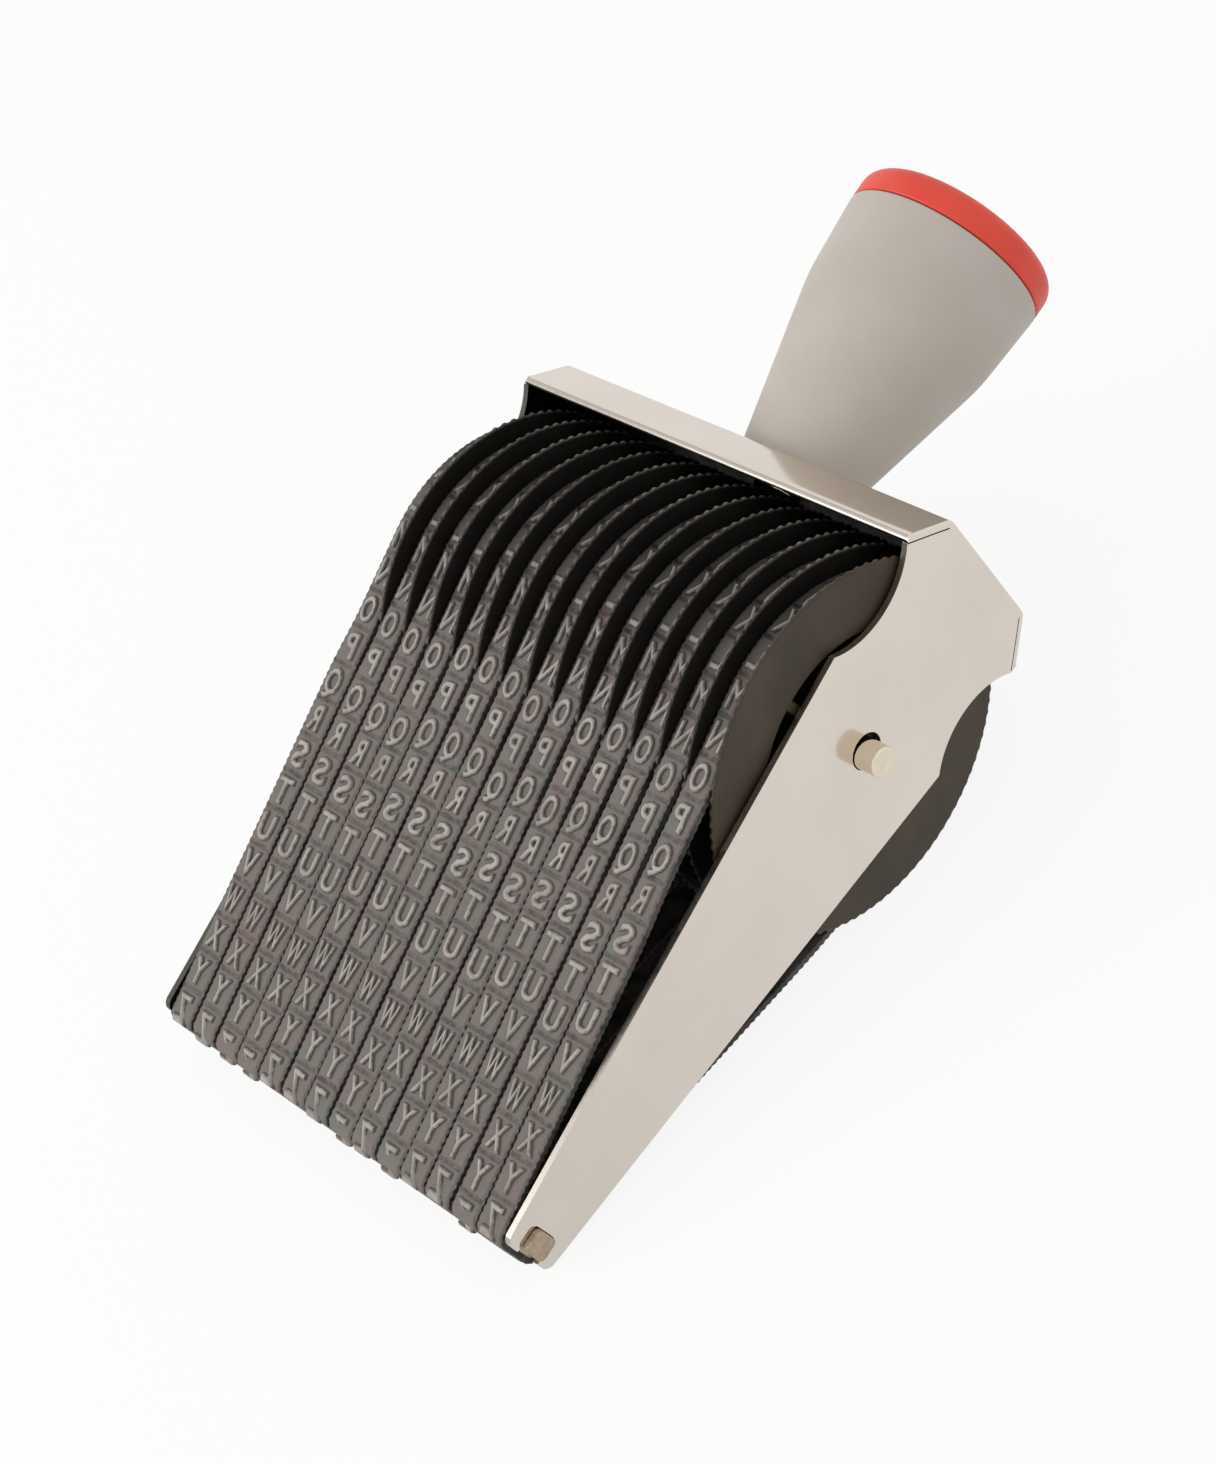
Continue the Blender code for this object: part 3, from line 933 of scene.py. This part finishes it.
    def build(self, finish: bpy.types.Material) -> None:
        """Wrap a copy of the strip round every wheel.

        Args:
            finish: The rubber.
        """
        path, length = self.curve()
        pitch = length / len(self.characters)
        strip = self.strip(pitch)
        LOG.info("band path %.2f mm, pitch %.3f mm", length / MM, pitch / MM)
        axes = Matrix(((0, 0, 1, 0), (1, 0, 0, 0), (0, 1, 0, 0), (0, 0, 0, 1)))
        for index in range(self.count):
            band = copy_of(strip, f"type_band_{index + 1:02d}")
            settle(band, Matrix.Translation((self.turns[index] * pitch, 0, 0)))
            wrap = band.modifiers.new("wrap", "CURVE")
            wrap.object = path
            wrap.deform_axis = "POS_X"
            apply_steps(band)
            self.relax(band, index)
            self.shade_arcs(band)
            start = (index - self.count / 2) * self.module + self.edge_gap + self.width / 2
            settle(band, self.stamp.place @ Matrix.Translation((start, 0, 0)) @ axes)
            edit(band)
            bpy.ops.mesh.remove_doubles(threshold=MERGE * 4)
            leave()
            smooth(band, 25)
            self.stamp.dress(band, "stamp", f"band_{index + 1:02d}", "type_rubber", finish)
        bpy.data.objects.remove(strip)
        bpy.data.objects.remove(path)


@dataclass
class ThumbWheels:
    """Fourteen flanged wheels with knurled rims."""

    stamp: Stamp
    count: int = 14
    module: float = 4.6 * MM
    left_gap: float = 0.04 * MM
    face: float = 4.54 * MM
    flange: float = 0.50 * MM
    rim_radius: float = 24.1 * MM
    drum_radius: float = 20.28 * MM
    ring_radius: float = 15.5 * MM
    hub_radius: float = 4.6 * MM
    bore_radius: float = 2.15 * MM
    web: float = 1.2 * MM
    ease: float = 0.12 * MM
    guard: float = 0.5 * MM
    knurls: int = 96
    knurl_steps: int = 4
    knurl_depth: float = 0.24 * MM
    rib_angles: tuple[float, ...] = (189.0, 309.0, 69.0)
    rib_thickness: float = 1.3 * MM

    def profile(self) -> list[Point]:
        """Return the wheel's section as radius and place along the axle."""
        left = self.face - self.flange
        ease = self.ease
        brink = self.rim_radius - self.knurl_depth * 1.2
        guard = self.rim_radius - self.guard
        return [(self.bore_radius, 0), (self.drum_radius - ease, 0), (self.drum_radius, ease),
                (self.drum_radius, left), (guard, left), (brink, left),
                (self.rim_radius, left + ease), (self.rim_radius, self.face - ease),
                (brink, self.face), (guard, self.face), (self.ring_radius + ease, self.face),
                (self.ring_radius, self.face - ease), (self.ring_radius, self.web),
                (self.hub_radius, self.web),
                (self.hub_radius, self.face - ease), (self.hub_radius - ease, self.face),
                (self.bore_radius, self.face)]

    def model(self) -> bpy.types.Object:
        """Model one wheel with its left face at x = 0.

        Returns:
            The wheel.
        """
        wheel = turned("thumb_wheel", self.profile(), self.knurl_steps * self.knurls, Axis.AXLE, True)
        step = math.tau / (self.knurl_steps * self.knurls)
        rim = self.rim_radius - self.knurl_depth / 2
        edit(wheel)
        pick(Pick.CORNERS, lambda at, normal: math.hypot(at.y, at.z) > rim
             and round(math.atan2(at.y, at.z) / step) % self.knurl_steps >= self.knurl_steps / 2)
        share = 1 - self.knurl_depth / self.rim_radius
        bpy.ops.transform.resize(value=(1, share, share), center_override=(0, 0, 0))
        leave()
        ribs = [self.rib(angle) for angle in self.rib_angles]
        take(wheel)
        for rib in ribs:
            rib.select_set(True)
        bpy.ops.object.join()
        return wheel

    def rib(self, angle: float) -> bpy.types.Object:
        """Model one rib between the hub and the ring.

        Args:
            angle: Its direction in degrees from +y towards +z.

        Returns:
            The rib.
        """
        ease = self.ease
        inner = self.hub_radius - ease
        outer = self.ring_radius + ease
        low = self.web - ease
        high = self.face - ease
        bpy.ops.mesh.primitive_cube_add(size=1, location=((low + high) / 2, (inner + outer) / 2, 0),
                                        scale=(high - low, outer - inner, self.rib_thickness))
        rib = bpy.context.object
        bpy.ops.object.transform_apply(location=True, rotation=True, scale=True)
        edit(rib)
        pick(Pick.EDGES, lambda at, run: abs(run.y) > 0.9 and at.x > (low + high) / 2)
        bpy.ops.mesh.bevel(offset=ease * 2, segments=2)
        leave()
        settle(rib, Matrix.Rotation(math.radians(angle), 4, "X"))
        return rib

    def painted_gap_shade(self, wheel: bpy.types.Object, open_face: bool) -> None:
        """Note where a wheel is painted: between the bands all but the rim is painted black as shade, and the
        knurl crests are painted paler as a highlight.

        Args:
            wheel: The wheel with its left face at x = 0.
            open_face: True for the wheel whose face no band covers.
        """
        clean = self.rim_radius - self.knurl_depth / 2
        places = [corner.co for corner in wheel.data.vertices]
        crests = [math.hypot(at.y, at.z) > clean for at in places]
        # Painted shade: the faces between the bands are painted black, but for the open wheel, the left faces
        # and the crests.
        gap_shaded = [0.0 if open_face or at.x < self.web / 2 or crest else 1.0
                 for at, crest in zip(places, crests)]
        # Painted highlight: the crests of every wheel but the open one are painted paler.
        painted_light = [1.0 if crest and not open_face else 0.0 for crest in crests]
        wheel.data.attributes.new("painted_gap_shade", "FLOAT", "POINT").data.foreach_set("value", gap_shaded)
        wheel.data.attributes.new("painted_light", "FLOAT", "POINT").data.foreach_set("value", painted_light)

    def build(self, finish: bpy.types.Material) -> None:
        """Place a copy of the wheel beside every band.

        Args:
            finish: The dark plastic.
        """
        model = self.model()
        smooth(model, 40)
        for index in range(self.count):
            name = f"wheel_{index + 1:02d}"
            wheel = copy_of(model, f"thumb_{name}")
            self.painted_gap_shade(wheel, index == self.count - 1)
            start = (index - self.count / 2) * self.module + self.left_gap
            settle(wheel, self.stamp.place @ Matrix.Translation((start, 0, 0)))
            self.stamp.dress(wheel, f"{name}_body", name, "wheel_plastic", finish)
        bpy.data.objects.remove(model)


@dataclass
class SheetFrame:
    """The bent sheet: roof with two crowned aprons, and side plates that the aprons' ends are slit from."""

    stamp: Stamp
    sheet: float = 0.85 * MM
    half_width: float = 33.5 * MM
    roof: float = 27.1 * MM
    roll_radius: float = 1.5 * MM
    crown_radius: float = 266.9 * MM
    crown_angles: Point = (42.0, 43.5)
    crown_steps: int = 12
    apron_reach: float = 16.25 * MM
    hem: float = 0.6 * MM
    # Painted shade: how dark the aprons' lower edges, the right plate's cut edges and the left plate's cut
    # edges are painted.
    hem_shade: float = 0.35
    cut_edge_shade: float = 0.3
    left_edge_shade: float = 0.9
    inner_facing: float = 0.15
    hem_facing: float = -0.88
    flat_angle: float = 12.0
    roll_steps: int = 6
    slit: float = 0.16 * MM
    roof_overlap: float = 0.45 * MM
    end_round: float = 0.35 * MM
    edge_ease: float = 0.06 * MM
    notch_radius: float = 11.0 * MM
    waist_half: float = 12.0 * MM
    waist_height: float = 12.6 * MM
    ear_height: float = 5.0 * MM
    foot_half: float = 4.95 * MM
    foot_corner: float = 1.5 * MM
    foot_end: float = -70.86 * MM
    slot_half: float = 2.25 * MM
    slot_top: float = -67.2 * MM
    slot_corner: float = 0.5 * MM
    hole_radius: float = 2.42 * MM
    hole_rise: float = 0.30 * MM
    screw_hole: float = 1.8 * MM

    def crown(self, inset: float, steps: int) -> list[Point]:
        """Return an apron's curve from its lower edge up, a distance inside its outer face."""
        low, high = self.crown_angles
        rise = self.crown_radius * (math.sin(math.radians(high)) - math.sin(math.radians(low)))
        edge = self.roof - self.roll_radius * (1 - math.sin(math.radians(high))) - rise
        centre = (self.apron_reach - self.crown_radius * math.cos(math.radians(low)),
                  edge - self.crown_radius * math.sin(math.radians(low)))
        return arc(centre, self.crown_radius - inset, low, high, steps)

    def roll(self, inset: float) -> list[Point]:
        """Return the bend from an apron to the roof, a distance inside its outer face."""
        high = self.crown_angles[1]
        top = self.crown(self.roll_radius, 1)[-1]
        return arc(top, self.roll_radius - inset, high, 90, self.roll_steps)

    def hat(self) -> list[Point]:
        """Return the section of the roof and its two aprons."""
        outer = self.crown(0, self.crown_steps) + self.roll(0)[1:]
        inner = self.crown(self.sheet, self.crown_steps) + self.roll(self.sheet)[1:]
        outside = outer + [(-y, z) for y, z in reversed(outer)]
        inside = inner + [(-y, z) for y, z in reversed(inner)]
        return outside + inside[::-1]

    def plate(self) -> list[Point]:
        """Return the outline of a side plate with its finger notches and forked foot."""
        slope = self.crown(self.sheet + self.slit, self.crown_steps)[::-1]
        centre = (self.waist_half + self.notch_radius, self.waist_height)
        upper = 180 - math.degrees(math.asin((slope[-1][1] - self.waist_height) / self.notch_radius))
        lower = 180 + math.degrees(math.asin((self.waist_height - self.ear_height) / self.notch_radius))
        foot = (self.foot_half - self.foot_corner, self.foot_end + self.foot_corner)
        half = [(slope[0][0] - self.roof_overlap, self.roof - self.roof_overlap)] + slope
        half += arc(centre, self.notch_radius, upper, lower, 20)
        half += arc(foot, self.foot_corner, 0, -90, 6)
        corner = self.slot_corner
        half.append((self.slot_half, self.foot_end))
        half += arc((self.slot_half - corner, self.slot_top - corner), corner, 0, 90, 4)
        return half + [(-y, z) for y, z in reversed(half)]

    def round_edges(self) -> None:
        """Round the aprons' lower edges and the outer edges of both ends, in edit mode."""
        pick(Pick.EDGES, lambda at, run: abs(run.x) > 0.9 and abs(abs(at.y) - self.apron_reach) < MERGE)
        bpy.ops.mesh.bevel(offset=self.hem, segments=4, profile=0.5)
        pick(Pick.EDGES, lambda at, run: abs(run.x) < 0.1 and self.depth(at) < self.hem)
        bpy.ops.mesh.bevel(offset=self.end_round, segments=3, profile=0.5)

    def depth(self, at: Vector) -> float:
        """Return how far a point lies inside the outer face of the roof and its aprons."""
        spot = Vector((abs(at.y), at.z))
        centre = Vector(self.crown(self.crown_radius, 1)[0])
        return min(self.crown_radius - (spot - centre).length, self.roof - at.z)

    def painted_shade_share(self, at: Vector, normal: Vector) -> float:
        """Say how far a face is painted dark as shade: fully on the inner side, partly on the aprons' rounded
        lower edges, where it dims their highlight, and on the plates' cut edges, the left plate's nearly
        fully.

        Args:
            at: Middle of the face.
            normal: Its direction.

        Returns:
            A share from 0, bright, to 1.
        """
        facing = -normal.dot(Vector((0, at.y, at.z)).normalized())
        if abs(at.x) < self.half_width - self.sheet - MERGE:
            if facing > self.inner_facing:
                return 1.0
            # Painted shade on the rounded lower edges dims their highlight.
            return self.hem_shade if facing > self.hem_facing else 0.0
        if abs(normal.x) > 0.8:
            return 1.0 if normal.x * at.x < 0 else 0.0
        if at.z < self.crown(0, 1)[0][1] - self.hem or self.depth(at) > self.sheet:
            # Painted shade: the left plate's cut edges are painted nearly black, the right plate's a little.
            return self.left_edge_shade if at.x < 0 else self.cut_edge_shade
        return 0.0

    def mark_painted_shade(self, piece: bpy.types.Object) -> None:
        """Note how far each face is painted dark as shade: the sheet's inner side, the aprons' lower edges
        and the cut edges of its plates.

        Args:
            piece: The bent sheet in its own axes.
        """
        painted_shade = [self.painted_shade_share(face.center, face.normal) for face in piece.data.polygons]
        piece.data.attributes.new("painted_shade", "FLOAT", "FACE").data.foreach_set("value", painted_shade)

    def build(self, finish: bpy.types.Material) -> None:
        """Bend the sheet.

        Args:
            finish: The nickel plate.
        """
        end = self.half_width
        piece = prism("sheet_frame", self.hat(), -end, end)
        edit(piece)
        self.round_edges()
        leave()
        combine(piece, prism("left_plate", self.plate(), -end, self.sheet - end), Solid.JOINED)
        combine(piece, prism("right_plate", self.plate(), end - self.sheet, end), Solid.JOINED)
        reach = end + self.sheet
        hole = [(0, -reach), (self.hole_radius, -reach), (self.hole_radius, reach), (0, reach)]
        bore = turned("axle_hole", hole, 64, Axis.AXLE, False)
        settle(bore, Matrix.Translation((0, 0, self.hole_rise)))
        combine(piece, bore, Solid.CUT)
        hole = [(0, self.roof - 2 * self.sheet), (self.screw_hole, self.roof - 2 * self.sheet),
                (self.screw_hole, self.roof + self.sheet), (0, self.roof + self.sheet)]
        combine(piece, turned("screw_hole", hole, 32, Axis.HANDLE, False), Solid.CUT)
        edit(piece)
        bpy.ops.mesh.remove_doubles(threshold=MERGE)
        bpy.ops.mesh.dissolve_limited(angle_limit=math.radians(0.05))
        leave()
        ease_edges(piece, self.edge_ease, self.flat_angle)
        self.mark_painted_shade(piece)
        settle(piece, self.stamp.place)
        self.stamp.dress(piece, "stamp", "frame", "nickel_plate", finish)


def ease_edges(piece: bpy.types.Object, radius: float, angle: float) -> None:
    """Round a piece's sharp edges.

    Args:
        piece: The piece.
        radius: Width of the rounding.
        angle: Faces that meet at less than this angle, in degrees, are shaded as one.
    """
    step = piece.modifiers.new("ease", "BEVEL")
    step.width = radius
    step.segments = 2
    step.limit_method = "ANGLE"
    step.angle_limit = math.radians(42)
    step.use_clamp_overlap = True
    apply_steps(piece)
    smooth(piece, angle)


@dataclass
class AxlePin:
    """The plain pin with its eased ends."""

    stamp: Stamp
    radius: float = 2.0 * MM
    half_length: float = 36.6 * MM
    ease: float = 0.35 * MM
    facets: int = 64

    def build(self, finish: bpy.types.Material) -> None:
        """Turn the pin.

        Args:
            finish: The polished steel.
        """
        flat = self.radius - self.ease
        tip = arc((flat, self.half_length - self.ease), self.ease, 0, 90, 5)
        mirrored = [(r, -x) for r, x in reversed(tip)]
        profile = [(0, -self.half_length)] + mirrored + tip + [(0, self.half_length)]
        pin = turned("axle_pin", profile, self.facets, Axis.AXLE, False)
        smooth(pin, 40)
        settle(pin, self.stamp.place)
        self.stamp.dress(pin, "stamp", "axle", "pin_steel", finish)


@dataclass
class PlatenBar:
    """The bar under the bands, with a rounded tenon that stands a little proud of the plates."""

    stamp: Stamp
    bottom: float = -70.70 * MM
    bar_half: float = 2.35 * MM
    bar_top: float = -63.7 * MM
    bar_length: float = 32.4 * MM
    bar_corner: float = 0.7 * MM
    tenon_half: float = 2.05 * MM
    tenon_base: float = -70.40 * MM
    tenon_top: float = -67.30 * MM
    tenon_length: float = 34.2 * MM
    tenon_corner: float = 0.8 * MM
    edge_ease: float = 0.12 * MM

    def section(self, half: float, base: float, top: float, corner: float) -> list[Point]:
        """Return a rounded upright section.

        Args:
            half: Half its width.
            base: Height of its lower face.
            top: Height of its upper face.
            corner: Radius of its corners.

        Returns:
            The outline.
        """
        right = arc((half - corner, base + corner), corner, -90, 0, 5)
        right += arc((half - corner, top - corner), corner, 0, 90, 5)
        return right + [(-y, z) for y, z in reversed(right)]

    def build(self, finish: bpy.types.Material) -> None:
        """Model the bar.

        Args:
            finish: The dull metal.
        """
        bar = self.section(self.bar_half, self.bottom, self.bar_top, self.bar_corner)
        tenon = self.section(self.tenon_half, self.tenon_base, self.tenon_top, self.tenon_corner)
        piece = prism("platen_bar", bar, -self.bar_length, self.bar_length)
        combine(piece, prism("tenon", tenon, -self.tenon_length, self.tenon_length), Solid.JOINED)
        ease_edges(piece, self.edge_ease, 35)
        settle(piece, self.stamp.place)
        self.stamp.dress(piece, "stamp", "platen", "platen_steel", finish)


@dataclass
class Handle:
    """Handle, cap and screw, all turned round the handle's axis."""

    stamp: Stamp
    foot: float = 27.1 * MM
    top: float = 62.9 * MM
    foot_radius: float = 7.7 * MM
    grip_radius: float = 13.2 * MM
    top_radius: float = 14.05 * MM
    cone_length: float = 24.5 * MM
    bend_radius: float = 30.0 * MM
    edge: float = 0.3 * MM
    seam: float = 0.12 * MM
    cap_top: float = 67.66 * MM
    cap_round: float = 2.2 * MM
    cap_dome: float = 0.25 * MM
    screw_seat: float = 26.25 * MM
    head_radius: float = 4.0 * MM
    head_height: float = 1.85 * MM
    head_round: float = 0.7 * MM
    shank_radius: float = 1.5 * MM
    shank_length: float = 8.5 * MM
    facets: int = 96

    def side(self) -> list[Point]:
        """Return the cone and its easing into the grip as radius and height."""
        corner = Vector((self.grip_radius, self.foot + self.cone_length))
        cone = math.atan2(self.grip_radius - self.foot_radius, self.cone_length)
        grip = math.atan2(self.top_radius - self.grip_radius, self.top - corner.y)
        upward = Vector((math.sin(grip), math.cos(grip)))
        inward = Vector((-upward.y, upward.x))
        centre = corner + self.bend_radius * (math.tan((cone - grip) / 2) * upward + inward)
        bend = arc(tuple(centre), self.bend_radius, -math.degrees(cone), -math.degrees(grip), 12)
        return [(self.foot_radius, self.foot + self.edge)] + bend

    def build(self, handle_finish: bpy.types.Material, cap_finish: bpy.types.Material,
              screw_finish: bpy.types.Material) -> None:
        """Turn the three pieces.

        Args:
            handle_finish: The grey plastic.
            cap_finish: The red plastic.
            screw_finish: The polished steel.
        """
        edge = self.edge
        rim = arc((self.top_radius - edge, self.top - edge), edge, 0, 90, 4)
        foot = arc((self.foot_radius - edge, self.foot + edge), edge, -90, 0, 4)
        profile = [(0, self.foot)] + foot[:-1] + self.side() + rim + [(0, self.top)]
        grip = turned("grip", profile, self.facets, Axis.HANDLE, False)
        smooth(grip, 40)
        settle(grip, self.stamp.place)
        self.stamp.dress(grip, "stamp", "handle", "handle_plastic", handle_finish)
        self.build_cap(cap_finish)
        self.build_screw(screw_finish)

    def build_cap(self, finish: bpy.types.Material) -> None:
        """Turn the cap.

        Args:
            finish: The red plastic.
        """
        seat = self.top + self.seam
        shoulder = self.cap_top - self.cap_dome
        radius = self.top_radius
        crown = arc((radius - self.cap_round, shoulder - self.cap_round), self.cap_round, 0, 90, 10)
        flat = crown[-1][0]
        shares = [1 - step / 6 for step in range(1, 7)]
        dome = [(flat * share, shoulder + self.cap_dome * (1 - share ** 2)) for share in shares]
        skirt = arc((radius - self.edge, seat + self.edge), self.edge, -90, 0, 4)
        cap = turned("grip_cap", [(0, seat)] + skirt + crown + dome, self.facets, Axis.HANDLE, False)
        smooth(cap, 40)
        settle(cap, self.stamp.place)
        self.stamp.dress(cap, "stamp", "handle_cap", "cap_plastic", finish)

    def build_screw(self, finish: bpy.types.Material) -> None:
        """Turn the screw and cut its slot.

        Args:
            finish: The polished steel.
        """
        seat = self.screw_seat
        bottom = seat - self.head_height
        edge = arc((self.head_radius - self.head_round, bottom + self.head_round), self.head_round, -90, 0, 6)
        profile = [(0, bottom)] + edge + [(self.head_radius, seat), (self.shank_radius, seat),
                                          (self.shank_radius, seat + self.shank_length - self.edge),
                                          (self.shank_radius - self.edge, seat + self.shank_length),
                                          (0, seat + self.shank_length)]
        screw = turned("grip_screw", profile, 48, Axis.HANDLE, False)
        bpy.ops.mesh.primitive_cube_add(size=1, location=(0, 0, bottom),
                                        scale=(self.head_radius * 3, 1.0 * MM, 0.8 * MM))
        blade = bpy.context.object
        bpy.ops.object.transform_apply(location=True, rotation=True, scale=True)
        combine(screw, blade, Solid.CUT)
        smooth(screw, 35)
        settle(screw, self.stamp.place)
        self.stamp.dress(screw, "stamp", "handle_screw", "pin_steel", finish)


@dataclass
class Studio:
    """Pale floor, soft light and the camera at the picture's angle."""

    picture_height: int = 1464
    focal_pixels: float = 3070.3
    sensor: float = 36.0
    eye: tuple[float, float, float] = (0.246674, -0.143243, 0.280888)
    right: tuple[float, float, float] = (0.67724, 0.66978, -0.30453)
    down: tuple[float, float, float] = (0.3491, -0.65685, -0.66833)
    floor_size: float = 6.0
    floor_shine: float = 0.88
    world_light: float = 0.75
    key_aim: tuple[float, float, float] = (-0.45, -0.75, 0.55)
    key_power: float = 3.0

    def axes(self) -> tuple[Vector, Vector, Vector]:
        """Return the camera's right, up and backward directions."""
        right = Vector(self.right).normalized()
        up = -Vector(self.down).normalized()
        return right, up, right.cross(up)

    def add_camera(self) -> None:
        """Put the camera where the picture was taken from."""
        bpy.ops.object.camera_add()
        camera = bpy.context.object
        right, up, back = self.axes()
        turn = Matrix((right, up, back)).transposed().to_4x4()
        camera.matrix_world = Matrix.Translation(self.eye) @ turn
        camera.data.sensor_fit = "VERTICAL"
        camera.data.sensor_height = self.sensor
        camera.data.lens = self.focal_pixels * self.sensor / self.picture_height
        camera.data.clip_start = 0.01
        camera.data.dof.use_dof = False
        bpy.context.scene.camera = camera

    def add_lamp(self, name: str, aim: Vector, distance: float, size: float, power: float) -> None:
        """Add one soft lamp that faces the stamp.

        Args:
            name: The lamp's name.
            aim: Direction from the stamp to the lamp.
            distance: How far off it stands.
            size: Its width.
            power: Its power in watts.
        """
        aim = aim.normalized()
        bpy.ops.object.light_add(type="AREA", location=aim * distance)
        lamp = bpy.context.object
        lamp.name = name
        lamp.rotation_euler = aim.to_track_quat("Z", "Y").to_euler()
        lamp.data.shape = "DISK"
        lamp.data.size = size
        lamp.data.energy = power

    def white_rays(self, tree: bpy.types.NodeTree) -> bpy.types.NodeSocket:
        """Add a value that is 1 for rays that should see a white background.

        Args:
            tree: The node tree.

        Returns:
            The value's socket.
        """
        rays = tree.nodes.new("ShaderNodeLightPath")
        share = rays.outputs["Is Camera Ray"]
        for name in ("Is Glossy Ray", "Is Transmission Ray"):
            more = tree.nodes.new("ShaderNodeMath")
            more.operation = "MAXIMUM"
            tree.links.new(share, more.inputs[0])
            tree.links.new(rays.outputs[name], more.inputs[1])
            share = more.outputs[0]
        return share

    def add_floor(self) -> None:
        """Lay the pale floor."""
        bpy.ops.mesh.primitive_plane_add(size=self.floor_size)
        floor = bpy.context.object
        floor.name = "floor"
        material = bpy.data.materials.new("pale_floor")
        material.use_nodes = True
        tree = material.node_tree
        shader = tree.nodes["Principled BSDF"]
        shader.inputs["Base Color"].default_value = linear((243, 242, 240))
        shader.inputs["Roughness"].default_value = 0.9
        shader.inputs["Specular IOR Level"].default_value = 0.0
        glow = tree.nodes.new("ShaderNodeEmission")
        mix = tree.nodes.new("ShaderNodeMixShader")
        share = tree.nodes.new("ShaderNodeMath")
        share.operation = "MULTIPLY"
        share.inputs[1].default_value = self.floor_shine
        tree.links.new(self.white_rays(tree), share.inputs[0])
        tree.links.new(share.outputs[0], mix.inputs[0])
        tree.links.new(shader.outputs[0], mix.inputs[1])
        tree.links.new(glow.outputs[0], mix.inputs[2])
        tree.links.new(mix.outputs[0], tree.nodes["Material Output"].inputs["Surface"])
        floor.data.materials.append(material)

    def add_world(self) -> None:
        """Light the room evenly, and show white behind the floor."""
        world = bpy.data.worlds.new("soft_room")
        world.use_nodes = True
        tree = world.node_tree
        background = tree.nodes["Background"]
        background.inputs["Color"].default_value = (1, 1, 1, 1)
        level = tree.nodes.new("ShaderNodeMapRange")
        level.inputs["To Min"].default_value = self.world_light
        level.inputs["To Max"].default_value = 1.0
        tree.links.new(self.white_rays(tree), level.inputs["Value"])
        tree.links.new(level.outputs["Result"], background.inputs["Strength"])
        bpy.context.scene.world = world

    def build(self) -> None:
        """Set the stage."""
        self.add_camera()
        self.add_floor()
        self.add_world()
        self.add_lamp("key", Vector(self.key_aim), 0.9, 0.6, self.key_power)
        bpy.context.scene.view_settings.view_transform = "Standard"


def main() -> None:
    """Build the stamp's pieces and the stage."""
    logging.basicConfig(level=logging.INFO, format="%(message)s")
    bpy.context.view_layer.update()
    bpy.ops.object.select_all(action="DESELECT")
    stamp = Stamp.packed()
    steel = PinSteel().make()
    Studio().build()
    SheetFrame(stamp).build(NickelPlate().make())
    AxlePin(stamp).build(steel)
    PlatenBar(stamp).build(PlatenSteel().make())
    Handle(stamp).build(HandlePlastic().make(), CapPlastic().make(), steel)
    ThumbWheels(stamp).build(WheelPlastic().make())
    TypeBands(stamp).build(TypeRubber().make())


if __name__ == "__main__":
    main()
